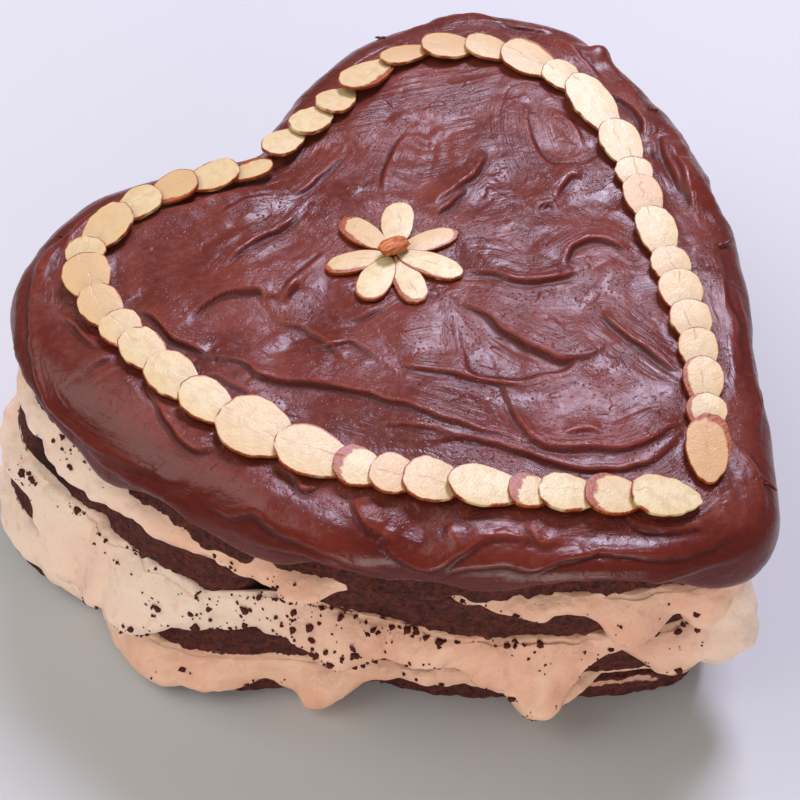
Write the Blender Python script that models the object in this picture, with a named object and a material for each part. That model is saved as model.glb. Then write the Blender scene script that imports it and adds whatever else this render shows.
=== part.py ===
"""A heart-shaped black forest cake: sponges, creams, a ganache cap and sliced almonds.

Lengths are millimetres until a mesh is written. The heart's point looks along -Y and its
notch along +Y, z = 0 is the surface that the cake stands on, and angles are degrees round
the cake's middle, from +X towards +Y.
"""

import math

import bpy
import numpy as np

MM = 0.001
GAP = 0.35

# Levels of the sponges, from the bottom up, and of the middle of the ganache
SPONGE_LEVELS = ((0.0, 14.5), (19.5, 39.5), (45.0, 66.0), (72.0, 91.0))
TOP = 98.0

# Outline of the ganache seen from above, from the heart's point round to the right
OUTLINE = (
    (-9, -115), (16, -97), (43, -71), (75, -42), (96, -8), (111, 26), (116, 57), (109, 80),
    (92, 97), (62, 106), (30, 107), (5, 100), (-12, 91), (-30, 101), (-60, 112), (-87, 106),
    (-106, 87), (-115, 61), (-114.5, 28), (-103, -18), (-84, -52), (-60, -80), (-31, -106),
)
CENTRE = (-10.0, -1.0)
FINE = 40
STATIONS = 84

# The walls lean outwards at the foot on the left lobe, where the stack has slumped: each
# lean as angle, half width and how far it reaches at the foot
LEANS = ((143, 14, 34.0), (172, 13, 26.5))
LEAN_TOP = 96.0
SPONGE_INSET = 5.0
CRUMB_DEPTH = 1.1

# Chunks missing from the sponges' sides: sponge, angle, half width and depth
BITES = ((2, 148, 2.5, 8.0), (2, -171, 2.5, 5.0), (1, 150, 4.0, 4.0))

# Middle of the box round the whole cake, which stands over the origin
MIDDLE = (-10.6, 1.5)

# Sag of each cream: level of its ordinary lower edge, its ordinary swell, and its lobes,
# each as angle, half width, lowest level and swell
CREAMS = (
    (12.5, 1.6, (
        (-163, 4, 0.6, 7.0), (166, 10, 2.0, 2.0), (177, 6, 5.0, 2.5), (-121, 4, 3.0, 3.0),
        (-70, 9, 6.0, 3.0), (-30, 8, 7.0, 3.0), (8, 10, 3.0, 4.0), (50, 9, 5.0, 3.5),
        (85, 8, 8.0, 3.0), (112, 10, 4.0, 3.5),
    )),
    (38.5, 2.0, (
        (160, 5, 21.0, 7.5), (168, 4.5, 26.0, 6.0), (175, 4, 35.0, 4.5), (-158, 4, 31.0, 5.0),
        (-143, 5, 32.0, 4.0), (-133, 4, 25.0, 4.5), (-125, 4, 13.0, 5.5), (-103, 4, 27.0, 4.0),
        (-94, 5, 25.0, 6.5), (-60, 9, 28.0, 5.0), (-25, 9, 24.0, 5.5), (15, 8, 29.0, 4.5),
        (48, 10, 22.0, 6.0), (92, 8, 27.0, 5.0), (120, 9, 25.0, 5.5),
    )),
    (66.0, 0.8, (
        (158, 5, 63.5, 2.5), (-164, 4, 62.5, 5.5), (-129, 5, 65.0, 2.0), (-111.5, 3.4, 51.0, 5.0),
        (-102, 2.4, 55.0, 3.5),
        (-72, 8, 56.0, 4.5), (-38, 7, 60.0, 3.5), (0, 9, 54.0, 5.0), (38, 8, 59.0, 4.0),
        (73, 8, 58.0, 4.0), (118, 9, 57.0, 4.5),
    )),
)
# Where the middle cream is pressed up over the sponge above it: angle, half width and height
PRESSED_UP = ((-94, 6, 16.0), (-168, 9, 9.0), (174, 7, 6.0))
# Where a cream is squeezed back between its sponges: cream, angle, half width and strength
PINCHES = ((2, -149, 7, 1.6), (0, -106, 7, 1.6))
PINCH_DEPTH = 3.0
CREAM_CLEARANCE = 0.6
CREAM_LIP = 0.5
# Side of a cream, from its lowest edge up: each ring's share of the swell, of the height,
# and of how far it is pushed out by the cream below
CREAM_SIDE = ((0.45, 0.0, 1.0), (0.95, 0.22, 1.0), (1.0, 0.45, 0.5), (0.12, 1.0, 0.0))
CREAM_THINNEST = 0.6
LOWEST_CREAM = 0.5
OVERHANG = 2.0
# Small waves round a cream: height and how many go round the cake
SAG_WAVES = (0.8, 9)
SWELL_WAVES = (0.4, 11)

# Lower edge of the ganache: ordinary level, and scallops as angle, half width and drop
SKIRT = 84.5
SCALLOPS = (
    (149, 6, -4.0), (165, 5, 6.0), (174, 4, -4.5), (-169, 5, 5.0), (-160, 4, -4.5),
    (-152, 4, 3.5), (-144, 4, -1.0), (-135, 4, 3.0), (-118, 8, -6.0), (-100, 6, 9.0),
    (-70, 8, 3.0), (-48, 6, -3.0), (-20, 9, 4.0), (5, 6, -2.0), (32, 8, 4.5), (62, 7, -3.0),
    (90, 8, 4.0), (118, 8, -2.0), (132, 6, 3.0),
)
SKIRT_THICKNESS = 3.6
SKIRT_LIP = 0.8
# Side of the ganache: each ring's distance outside the outline, and its share of the way
# from the brim down to the skirt's edge
GANACHE_SIDE = ((-5.0, 0.10), (-1.6, 0.30), (0.0, 0.55), (0.6, 0.85), (-1.4, 1.0))
SHOULDER = 9.0

# Strokes of the palette knife: start, bend, end, half width and height, a hollow being less
STROKES = (
    ((-76, 47), (-63, 46), (-50, 40), 4.0, 2.6),
    ((-82, 63), (-80, 36), (-65, 7), 4.5, 2.4),
    ((-74, 84), (-56, 78), (-36, 72), 8.0, -1.8),
    ((-17, 41), (-33, 38), (-48, 33), 4.0, 1.9),
    ((-41, 14), (-32, 14), (-23, 10), 3.5, 1.7),
    ((3, 30), (22, 32), (43, 35), 4.0, 2.0),
    ((-43, 54), (-30, 57), (-17, 58), 4.0, 1.9),
    ((16, -6), (8, -8), (-5, 3), 4.0, 1.7),
    ((18, -20), (8, -14), (-3, 2), 4.0, 2.7),
    ((-12, -6), (-9, -16), (-6, -35), 4.0, 2.8),
    ((22, -15), (34, -12), (39, -24), 4.0, 2.3),
    ((4, -45), (2, -56), (9, -66), 5.0, -2.2),
    ((-29, -38), (-36, -58), (-4, -75), 4.0, 2.2),
    ((-34, -34), (-44, -62), (-8, -78), 5.0, -2.4),
    ((-16, -48), (-18, -38), (-30, -28), 6.0, -1.9),
    ((-16, 61), (14, 74), (46, 75), 5.0, -1.8),
    ((40, 66), (36, 50), (34, 32), 5.0, 1.5),
    ((60, 2), (68, 20), (70, 40), 6.0, -1.8),
)
# Strokes die out this near the middle line of the border
BORDER_PATCH = 8.0
PATCH_FADE = 5.0
# The top falls by this much over the last of the way out to the brim
BRIM_FALL = 1.6
BRIM_REACH = 12.0
# Raised rim along the outside of the left lobe, as angle, half width and height
RIM = (162, 34, 2.2)
RIM_SET_IN = 6.0
RIM_HALF_WIDTH = 3.0

# The border of sliced almonds: two arms from the notch to the point, and what shows of
# each slice before the next one laps over it
LEFT_ARM = (
    (-14, 76), (-29, 87), (-53, 94), (-74, 92), (-87, 77), (-90, 48), (-89, 17), (-80, -15),
    (-65, -41), (-43, -69), (-24, -89), (-17, -97),
)
LEFT_PITCHES = (
    11, 14, 13, 12, 17, 8, 14, 13, 9, 12, 14, 15, 18, 17, 10, 9, 12, 16, 8, 12, 12, 19,
)
LEFT_WIDTHS = (
    8, 12, 12, 12, 13, 12, 14, 12, 12, 12, 13, 12, 18, 15, 12, 12, 13, 12, 10, 11, 12, 12,
)
RIGHT_ARM = (
    (-12, 82), (9, 84), (31, 87), (56, 89), (78, 73), (87, 52), (85, 30), (75, 5), (58, -17),
    (42, -40), (25, -62), (3, -82), (-14, -95),
)
RIGHT_PITCHES = (
    14, 14, 12, 21, 17, 16, 14, 18, 12, 25, 18, 9, 15, 17, 10, 12, 11, 11, 13, 8, 21,
)
RIGHT_WIDTHS = (
    11, 12, 12, 12, 9, 13, 12, 16, 12, 14, 13, 12, 12, 12, 12, 13, 12, 11, 11, 11, 12,
)
LAP = 4.5
SLICE_THICKNESS = 1.1
SLICE_DOME = 0.15
SLICE_TAPER = 0.97
SLICE_TILT = 9.0
SLICE_SIDES = 12
SLICE_CLEARANCE = 0.2
# A slice lies on another where it comes within this share of its length or width
LIES_ON = 0.583
ARM_END_GAP = 1.5

# The flower: distance of each petal's middle from the flower's, and the petals' angles
FLOWER = (-12.5, 23.0)
FLOWER_REACH = 12.9
PETAL_ANGLES = (40, -20, -69, -114, -160, 152, 95)
PETAL_LENGTHS = (17, 17, 19, 17, 16, 17, 16)
PETAL_WIDTHS = (10, 8, 9, 9, 10, 8, 9)
FLOWER_PATCH = 24.0
NUB_LENGTH = 10.5
NUB_WIDTH = 6.0
NUB_THICKNESS = 2.6
NUB_TURN = -5.0
NUB_TILT = 10.0


def turn_between(angle, other):
    """Signed turn from other to angle, in degrees from -180 to 180."""
    return (angle - other + 180.0) % 360.0 - 180.0


def bell(distance, width):
    """A rounded hump, 1 at no distance, falling away over a width or two."""
    return np.exp(-0.5 * (distance / width) ** 2)


def through(points, closed):
    """A smooth curve through the points, by Catmull-Rom spans, as an array of its points."""
    points = np.array(points, float)
    if closed:
        reach = np.vstack([points[-1:], points, points[:2]])
    else:
        first = 2 * points[0] - points[1]
        last = 2 * points[-1] - points[-2]
        reach = np.vstack([first, points, last])
    t = np.linspace(0, 1, FINE, endpoint=False)[:, None]
    spans = []
    for p0, p1, p2, p3 in zip(reach, reach[1:], reach[2:], reach[3:]):
        spans.append(
            p1
            + (p2 - p0) * t / 2
            + (2 * p0 - 5 * p1 + 4 * p2 - p3) * t**2 / 2
            + (3 * p1 - p0 - 3 * p2 + p3) * t**3 / 2
        )
    if not closed:
        spans.append(points[-1:])
    return np.vstack(spans)


def along(curve):
    """Distance travelled along the curve at each of its points."""
    steps = np.linalg.norm(np.diff(curve, axis=0), axis=1)
    return np.concatenate([[0.0], np.cumsum(steps)])


def heart_curve():
    """The outline as even steps, from the heart's point round to the right."""
    curve = through(OUTLINE, closed=True)
    curve = np.vstack([curve, curve[:1]])
    distance = along(curve)
    steps = np.linspace(0, distance[-1], FINE * len(OUTLINE), endpoint=False)
    return np.stack([np.interp(steps, distance, curve[:, axis]) for axis in (0, 1)], axis=1)


def outward(curve):
    """Unit vectors square to a closed curve, away from its inside."""
    tangent = np.roll(curve, -2, axis=0) - np.roll(curve, 2, axis=0)
    tangent /= np.linalg.norm(tangent, axis=1)[:, None]
    return np.stack([tangent[:, 1], -tangent[:, 0]], axis=1)


def angles_of(points):
    """Each point's angle round the cake's middle, in degrees."""
    return np.degrees(np.arctan2(points[:, 1], points[:, 0]))


HEART = heart_curve()
HEART_OUT = outward(HEART)


class Edge:
    """Stations on the outline: their places, outward vectors and angles."""

    def __init__(self, index):
        self.place = HEART[index]
        self.out = HEART_OUT[index]
        self.angle = angles_of(self.place)
        self.lean = self.humps(LEANS, 2)

    def ring(self, offset, level):
        """A ring of points this far outside the outline, at this level."""
        level = np.broadcast_to(level, len(self.place))
        offset = np.broadcast_to(offset, len(self.place))
        plan = self.place + self.out * offset[:, None]
        return np.column_stack([plan, level])

    def wall(self, level):
        """How far the layers' side stands outside the outline at this level."""
        return self.lean * (1 - np.asarray(level) / LEAN_TOP) - SPONGE_INSET

    def waves(self, height_and_count):
        """Small even waves round the cake, as a value at each station."""
        height, count = height_and_count
        return height * np.sin(np.radians(self.angle * count))

    def humps(self, table, column):
        """The tallest of the table's humps at each station, one column giving heights."""
        tallest = np.zeros(len(self.place))
        for row in table:
            hump = row[column] * bell(turn_between(self.angle, row[0]), row[1])
            tallest = np.maximum(tallest, hump)
        return tallest


def lay_material(name, colour, roughness):
    """A plain material of the food's own colour."""
    material = bpy.data.materials.new(name)
    material.use_nodes = True
    shader = material.node_tree.nodes["Principled BSDF"]
    shader.inputs["Base Color"].default_value = (*colour, 1.0)
    shader.inputs["Roughness"].default_value = roughness
    shader.inputs["Metallic"].default_value = 0.0
    return material


def put(name, points, faces, material, sharp_degrees=40.0):
    """An object of this mesh, in the cake's collection, shaded smooth."""
    mesh = bpy.data.meshes.new(name)
    mesh.from_pydata((np.asarray(points) * MM).tolist(), [], faces)
    mesh.shade_smooth()
    mesh.set_sharp_from_angle(angle=math.radians(sharp_degrees))
    mesh.materials.append(material)
    piece = bpy.data.objects.new(name, mesh)
    piece.parent = FOOT
    CAKE.objects.link(piece)
    return piece


def bands(first, rings, count):
    """Faces that join each ring of count points to the next, the first starting at first."""
    faces = []
    for row in range(rings - 1):
        start = first + row * count
        for i in range(count):
            j = (i + 1) % count
            faces.append((start + i, start + j, start + count + j, start + count + i))
    return faces


def loft(name, rings, material):
    """A closed solid: rings from the bottom face outwards and up to the top face."""
    count = len(rings[0])
    faces = bands(0, len(rings), count)
    faces.append(tuple(range(count - 1, -1, -1)))
    last = count * (len(rings) - 1)
    faces.append(tuple(range(last, last + count)))
    return put(name, np.vstack(rings), faces, material)


def make_sponge(number, edge, material):
    """One sponge: a heart-shaped slab whose side is set back here and there by lost crumbs."""
    bottom, top = SPONGE_LEVELS[number]
    bites = edge.humps([row[1:] for row in BITES if row[0] == number], 2)
    chance = np.random.default_rng(number)
    rings = []
    for level in (bottom, (bottom + top) / 2, top):
        lost = chance.uniform(0, CRUMB_DEPTH, len(edge.place)) + bites
        rings.append(edge.ring(edge.wall(level) - lost, level))
    return loft(f"sponge_{number + 1}", rings, material)


def swell_of(number, edge):
    """How thick this cream stands outside the sponges at each station."""
    _, swell, lobes = CREAMS[number]
    return swell + edge.waves(SWELL_WAVES) + edge.humps(lobes, 3)


def make_cream(number, edge, material):
    """One cream: the filling between two sponges, and what has squeezed out and sagged.

    Where it is pinched, what hangs over the sponges goes first, and then it draws back.
    """
    bottom = SPONGE_LEVELS[number][1] + GAP
    top = SPONGE_LEVELS[number + 1][0] - GAP
    usual, _, lobes = CREAMS[number]
    swell = swell_of(number, edge)
    sags = [(row[0], row[1], usual - row[2]) for row in lobes]
    shown = 1 - edge.humps([row[1:] for row in PINCHES if row[0] == number], 2)
    over = np.clip(2 * shown - 1, 0, 1)
    hangs_beside = np.maximum(np.roll(over, 1), np.roll(over, -1)) > 0
    back = np.where(hangs_beside, 0, np.clip(1 - 2 * shown, 0, 1) * PINCH_DEPTH)
    low = np.maximum(usual + edge.waves(SAG_WAVES) - edge.humps(sags, 2), LOWEST_CREAM)
    low = bottom + (np.minimum(low, bottom) - bottom) * over
    high = top + CREAM_LIP * over
    pushed = np.zeros(len(edge.place))
    if number == 1:
        high += edge.humps(PRESSED_UP, 2)
    if number > 0:
        reach = np.clip((bottom - low) / (bottom - SPONGE_LEVELS[number - 1][1]), 0, 1)
        pushed = reach * (swell_of(number - 1, edge) + OVERHANG)

    def outside(level, out=0.0):
        return edge.ring(edge.wall(level) + CREAM_CLEARANCE - back + out, level)

    rings = [
        edge.ring(edge.wall(bottom) - SHOULDER, bottom),
        outside(bottom),
        outside(low + CREAM_THINNEST, pushed),
    ]
    for swollen, height, push in CREAM_SIDE:
        rings.append(outside(low + height * (high - low), swollen * swell + push * pushed))
    rings.append(outside(top))
    rings.append(edge.ring(edge.wall(top) - SHOULDER, top))
    return loft(f"cream_{number + 1}", rings, material)


def distance_to(path, x, y):
    """Each point's distance to a path, and how far along it the nearest place is."""
    best = np.full(x.shape, np.inf)
    share = np.zeros(x.shape)
    for step, (start, end) in enumerate(zip(path, path[1:])):
        run = end - start
        t = ((x - start[0]) * run[0] + (y - start[1]) * run[1]) / (run @ run)
        t = np.clip(t, 0, 1)
        gap = np.hypot(x - start[0] - t * run[0], y - start[1] - t * run[1])
        nearer = gap < best
        best = np.where(nearer, gap, best)
        share = np.where(nearer, (step + t) / (len(path) - 1), share)
    return best, share


def bend(start, control, end, count=9):
    """Points of a curve from start to end that leans towards control."""
    t = np.linspace(0, 1, count)[:, None]
    start, control, end = (np.array(p, float) for p in (start, control, end))
    return (1 - t) ** 2 * start + 2 * t * (1 - t) * control + t**2 * end


def ganache_top(x, y, depth):
    """Level of the ganache's top: knife strokes that fade under the almonds and the flower.

    depth is how far a point lies inside the outline.
    """
    relief = np.zeros(x.shape)
    for start, control, end, half_width, height in STROKES:
        gap, share = distance_to(bend(start, control, end), x, y)
        relief += height * bell(gap, half_width) * np.sin(np.pi * (0.1 + 0.8 * share))
    clear = np.ones(x.shape)
    for arm in (LEFT_ARM, RIGHT_ARM):
        gap, _ = distance_to(np.array(arm, float), x, y)
        clear *= np.clip((gap - BORDER_PATCH) / PATCH_FADE, 0, 1)
    flower_gap = np.hypot(x - FLOWER[0], y - FLOWER[1])
    clear *= np.clip((flower_gap - FLOWER_PATCH) / PATCH_FADE, 0, 1)
    angle = np.degrees(np.arctan2(y, x))
    rim = RIM[2] * bell(turn_between(angle, RIM[0]), RIM[1])
    rim *= bell(depth - SHOULDER - RIM_SET_IN, RIM_HALF_WIDTH)
    fall = BRIM_FALL * np.clip(1 - (depth - SHOULDER) / BRIM_REACH, 0, 1) ** 2
    return TOP + (relief + rim) * clear - fall


def square_to_disc(cells):
    """A square grid of points spread over a disc, and its rim in order round it."""
    row = np.linspace(-1, 1, cells + 1)
    s, t = np.meshgrid(row, row)
    u = s * np.sqrt(1 - t**2 / 2)
    v = t * np.sqrt(1 - s**2 / 2)
    index = np.arange((cells + 1) ** 2).reshape(cells + 1, cells + 1)
    rim = np.concatenate([index[0, :-1], index[:-1, -1], index[-1, :0:-1], index[:0:-1, 0]])
    return u.ravel(), v.ravel(), index, rim


def make_ganache(material, cells=40):
    """The ganache: a cap over the top sponge, with strokes on top and a scalloped skirt."""
    u, v, index, rim = square_to_disc(cells)
    bearing = np.arctan2(v, u)
    inside = HEART - HEART_OUT * SHOULDER - CENTRE
    inside_bearing = np.unwrap(np.arctan2(inside[:, 1], inside[:, 0]))
    turned = np.mod(bearing - inside_bearing[0], 2 * np.pi) + inside_bearing[0]
    station = np.interp(turned, inside_bearing, np.arange(len(HEART)))
    nearest = np.round(station).astype(int) % len(HEART)
    share = np.hypot(u, v)
    x = CENTRE[0] + share * inside[nearest, 0]
    y = CENTRE[1] + share * inside[nearest, 1]
    depth = SHOULDER + (1 - share) * np.hypot(inside[nearest, 0], inside[nearest, 1])
    top = np.column_stack([x, y, ganache_top(x, y, depth)])

    edge = Edge(nearest[rim])
    brim = top[rim, 2]
    skirt = SKIRT - sum(
        row[2] * bell(turn_between(edge.angle, row[0]), row[1]) for row in SCALLOPS
    )
    drop = brim - skirt
    under = SPONGE_LEVELS[3][1] + GAP

    def outside(offset, level):
        return edge.ring(edge.wall(level) + SPONGE_INSET + offset, level)

    rings = [outside(offset, brim - share * drop) for offset, share in GANACHE_SIDE]
    rings.append(outside(-SKIRT_THICKNESS, skirt + SKIRT_LIP))
    rings.append(outside(-SKIRT_THICKNESS, under))
    first = len(top)
    count = len(rim)
    faces = []
    for row in range(cells):
        for column in range(cells):
            a, b = index[row, column], index[row, column + 1]
            c, d = index[row + 1, column + 1], index[row + 1, column]
            faces.append((a, b, c, d))
    for i in range(count):
        j = (i + 1) % count
        faces.append((rim[j], rim[i], first + i, first + j))
    faces += [face[::-1] for face in bands(first, len(rings), count)]
    last = first + count * (len(rings) - 1)
    faces.append(tuple(range(last + count - 1, last - 1, -1)))
    faces = [tuple(int(i) for i in face) for face in faces]
    return put("ganache", np.vstack([top, *rings]), faces, material, 60.0)


def slice_outline(length, width, pointed=0.22):
    """Outline of an almond cut along its length: an oval, narrower towards +X."""
    t = np.linspace(0, 2 * np.pi, SLICE_SIDES, endpoint=False)
    x = np.cos(t) * length / 2
    y = np.sin(t) * width / 2 * (1 - pointed * np.cos(t))
    return np.column_stack([x, y])


def make_slice(name, length, width, thickness, material):
    """A flat slice of almond, a little domed, with its middle at the origin."""
    outline = slice_outline(length, width)
    count = len(outline)
    lower = np.column_stack([outline, np.full(count, -thickness / 2)])
    upper = np.column_stack([outline * SLICE_TAPER, np.full(count, thickness / 2)])
    crown = np.array([[0.0, 0.0, thickness / 2 + SLICE_DOME]])
    faces = bands(0, 2, count)
    faces.append(tuple(range(count - 1, -1, -1)))
    for i in range(count):
        faces.append((count + i, count + (i + 1) % count, 2 * count))
    return put(name, np.vstack([lower, upper, crown]), faces, material, 30.0)


class Slice:
    """One slice of the border: its middle, its heading and its size."""

    def __init__(self, middle, heading, length, width):
        self.middle = middle
        self.heading = heading
        self.length = length
        self.width = width
        self.level = 0.0

    def plane(self, points):
        """Level of the slice's middle sheet over these points."""
        slope = math.tan(math.radians(SLICE_TILT))
        ahead = (points - self.middle) @ self.heading
        return self.level - slope * ahead

    def covers(self, points):
        """Which of these points lie over the slice, or almost."""
        ahead = (points - self.middle) @ self.heading
        side = (points - self.middle) @ np.array([-self.heading[1], self.heading[0]])
        return np.hypot(ahead / self.length, side / self.width) < LIES_ON

    def samples(self):
        """Points spread over the slice, seen from above."""
        outline = slice_outline(self.length, self.width)
        spread = np.vstack([outline * share for share in (1.0, 0.8, 0.6, 0.4, 0.2)])
        side = np.array([-self.heading[1], self.heading[0]])
        return self.middle + spread[:, :1] * self.heading + spread[:, 1:] * side

    def settle(self, earlier):
        """Lowers the slice until it rests on the ganache or on an earlier slice."""
        points = self.samples()
        rest = SLICE_THICKNESS / 2 / math.cos(math.radians(SLICE_TILT)) + GAP
        self.level = 0.0
        needed = [TOP + rest - self.plane(points).min()]
        for other in earlier:
            under = other.covers(points)
            if under.any():
                lift = other.plane(points[under]) - self.plane(points[under])
                needed.append(lift.max() + 2 * rest - GAP + SLICE_CLEARANCE)
        self.level = max(needed)


def lay_arm(anchors, pitches, widths, settled):
    """The slices of one arm of the border, from the notch to the point."""
    path = through(anchors, closed=False)
    distance = along(path)
    stretch = (distance[-1] - ARM_END_GAP) / sum(pitches)
    start = 0.0
    for pitch, width in zip(pitches, widths):
        shown = pitch * stretch
        hidden = 0.0 if start + shown > distance[-1] - 2 * ARM_END_GAP else LAP
        ends = []
        for reach in (start, start + shown + hidden):
            ends.append(np.array([np.interp(reach, distance, path[:, axis]) for axis in (0, 1)]))
        run = ends[1] - ends[0]
        length = np.linalg.norm(run)
        piece = Slice((ends[0] + ends[1]) / 2, run / length, length, width)
        piece.settle(settled)
        settled.append(piece)
        start += shown


def make_border(material):
    """The whole border, each slice tipped so that it lies over the one before it."""
    settled = []
    lay_arm(LEFT_ARM, LEFT_PITCHES, LEFT_WIDTHS, settled)
    lay_arm(RIGHT_ARM, RIGHT_PITCHES, RIGHT_WIDTHS, settled)
    for number, piece in enumerate(settled, start=1):
        name = f"almond_{number:02d}"
        slab = make_slice(name, piece.length, piece.width, SLICE_THICKNESS, material)
        slab.location = (piece.middle[0] * MM, piece.middle[1] * MM, piece.level * MM)
        turn = math.atan2(piece.heading[1], piece.heading[0])
        slab.rotation_euler = (0.0, math.radians(SLICE_TILT), turn)


def make_flower(almond, skin):
    """Seven slices set like petals, and the broken piece on their inner ends."""
    level = TOP + GAP + SLICE_THICKNESS / 2
    petals = zip(PETAL_ANGLES, PETAL_LENGTHS, PETAL_WIDTHS)
    for number, (angle, length, width) in enumerate(petals, start=1):
        petal = make_slice(f"petal_{number}", length, width, SLICE_THICKNESS, almond)
        turn = math.radians(angle)
        x = FLOWER[0] + FLOWER_REACH * math.cos(turn)
        y = FLOWER[1] + FLOWER_REACH * math.sin(turn)
        petal.location = (x * MM, y * MM, level * MM)
        petal.rotation_euler = (0.0, 0.0, turn + math.pi)
    nub = make_slice("flower_middle", NUB_LENGTH, NUB_WIDTH, NUB_THICKNESS, skin)
    lift = NUB_LENGTH / 2 * math.sin(math.radians(NUB_TILT)) + NUB_THICKNESS / 2
    nub_level = level + SLICE_THICKNESS / 2 + 2 * GAP + lift
    nub.location = (FLOWER[0] * MM, FLOWER[1] * MM, nub_level * MM)
    nub.rotation_euler = (0.0, math.radians(NUB_TILT), math.radians(NUB_TURN))


for leftover in list(bpy.data.objects):
    bpy.data.objects.remove(leftover, do_unlink=True)

CAKE = bpy.data.collections.new("black_forest_cake")
bpy.context.scene.collection.children.link(CAKE)
FOOT = bpy.data.objects.new("foot_of_the_cake", None)
FOOT.location = (-MIDDLE[0] * MM, -MIDDLE[1] * MM, 0.0)
CAKE.objects.link(FOOT)

SPONGE = lay_material("sponge", (0.075, 0.018, 0.012), 0.9)
CREAM = lay_material("cream", (0.80, 0.52, 0.36), 0.55)
GANACHE = lay_material("ganache", (0.13, 0.035, 0.022), 0.35)
ALMOND = lay_material("almond", (0.80, 0.62, 0.42), 0.6)
ALMOND_SKIN = lay_material("almond_skin", (0.42, 0.14, 0.04), 0.6)

layers = Edge(np.linspace(0, len(HEART), STATIONS, endpoint=False).astype(int))
for layer in range(len(SPONGE_LEVELS)):
    make_sponge(layer, layers, SPONGE)
for layer in range(len(CREAMS)):
    make_cream(layer, layers, CREAM)
make_ganache(GANACHE)
make_border(ALMOND)
make_flower(ALMOND, ALMOND_SKIN)
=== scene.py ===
# %% [markdown]
# # A heart-shaped black forest cake
#
# Four dark sponges and three whipped creams are stacked in the shape of a heart, spread with
# chocolate ganache by a palette knife, and edged with sliced almonds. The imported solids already
# hold every piece at its real size. This lesson dresses them: each layer is worked out again
# from the same named sizes, on a grid fine enough for knife marks, crumb and drips.

# %% Load the solids
import math

import bpy
import numpy as np
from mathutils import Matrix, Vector


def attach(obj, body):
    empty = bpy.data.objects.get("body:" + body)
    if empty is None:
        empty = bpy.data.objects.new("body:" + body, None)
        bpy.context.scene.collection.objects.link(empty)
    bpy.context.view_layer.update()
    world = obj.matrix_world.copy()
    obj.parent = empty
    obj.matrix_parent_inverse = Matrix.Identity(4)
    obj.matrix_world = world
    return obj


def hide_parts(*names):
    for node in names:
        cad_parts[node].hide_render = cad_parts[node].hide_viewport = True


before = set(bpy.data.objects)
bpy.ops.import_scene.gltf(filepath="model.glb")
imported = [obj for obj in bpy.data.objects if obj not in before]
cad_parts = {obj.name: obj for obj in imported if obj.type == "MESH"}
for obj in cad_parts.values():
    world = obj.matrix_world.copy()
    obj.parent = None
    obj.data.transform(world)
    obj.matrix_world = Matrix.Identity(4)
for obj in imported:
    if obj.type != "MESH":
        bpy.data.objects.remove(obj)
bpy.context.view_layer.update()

# %% [markdown]
# ## Sizes of the cake
#
# Every length is in millimetres and is turned into metres only when a mesh is written. The heart
# is a smooth closed curve through the few points that a cake tin's shape needs. The same curve
# could be drawn as a Blender curve, but as an array it can also carry each layer's drips.

# %% Sizes
MM = 0.001
# Where the frame's origin lies in these millimetres, and the gap left between two layers
MIDDLE = np.array([-10.6, 1.5, 0.0])
GAP = 0.35
# Bottom and top of each sponge, and the level of the ganache
SPONGE_LEVELS = ((0.0, 14.5), (19.5, 39.5), (45.0, 66.0), (72.0, 91.0))
TOP = 98.0
# The heart's outline, from its point round to the right
OUTLINE = (
    (-9, -115), (16, -97), (43, -71), (75, -42), (96, -8), (111, 26), (116, 57), (109, 80),
    (92, 97), (62, 106), (30, 107), (5, 100), (-12, 91), (-30, 101), (-60, 112), (-87, 106),
    (-106, 87), (-115, 61), (-114.5, 28), (-103, -18), (-84, -52), (-60, -80), (-31, -106),
)
# Where the fans that close a layer meet, and how many points a span of the outline gets
CENTRE = np.array([-10.0, -1.0])
FINE = 60
# The slump, as angle, half width and reach at the foot, and the level where it begins
LEANS = ((143, 14, 34.0), (172, 13, 26.5))
LEAN_TOP = 96.0
# How far the sponges stand inside the outline, and how wide the ganache's shoulder is
SPONGE_INSET = 5.0
SHOULDER = 9.0

# %% [markdown]
# ## Curves and stations
#
# A station is a place on the outline, counted in steps from the heart's point. Each layer asks
# an Edge for rings of points at some distance outside the outline, and the stack's slump on the
# left lobe is a lean that grows towards the foot.

# %% Curves
def turn_between(angle, other):
    """Signed turn from other to angle, in degrees from -180 to 180."""
    return (angle - other + 180.0) % 360.0 - 180.0


def bell(distance, width):
    """A rounded hump: e to the power of minus half the squared distance over the width."""
    return np.exp(-0.5 * (distance / width) ** 2)


def ease(value):
    """0 below 0, 1 above 1, and the smooth step 3t squared less 2t cubed between."""
    t = np.clip(value, 0, 1)
    return t * t * (3 - 2 * t)


def through(points, closed, steps=FINE):
    """Catmull-Rom: between two points, a cubic whose slopes are half the chord of neighbours."""
    points = np.asarray(points, float)
    if closed:
        reach = np.concatenate([points[-1:], points, points[:2]])
    else:
        reach = np.concatenate([2 * points[:1] - points[1:2], points, 2 * points[-1:] - points[-2:-1]])
    t = np.linspace(0, 1, steps, endpoint=False).reshape((-1,) + (1,) * (points.ndim - 1))
    spans = []
    for p0, p1, p2, p3 in zip(reach, reach[1:], reach[2:], reach[3:]):
        rise = (p2 - p0) * t / 2
        bow = (2 * p0 - 5 * p1 + 4 * p2 - p3) * t**2 / 2
        twist = (3 * p1 - p0 - 3 * p2 + p3) * t**3 / 2
        spans.append(p1 + rise + bow + twist)
    if not closed:
        spans.append(points[-1:])
    return np.concatenate(spans)


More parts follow.
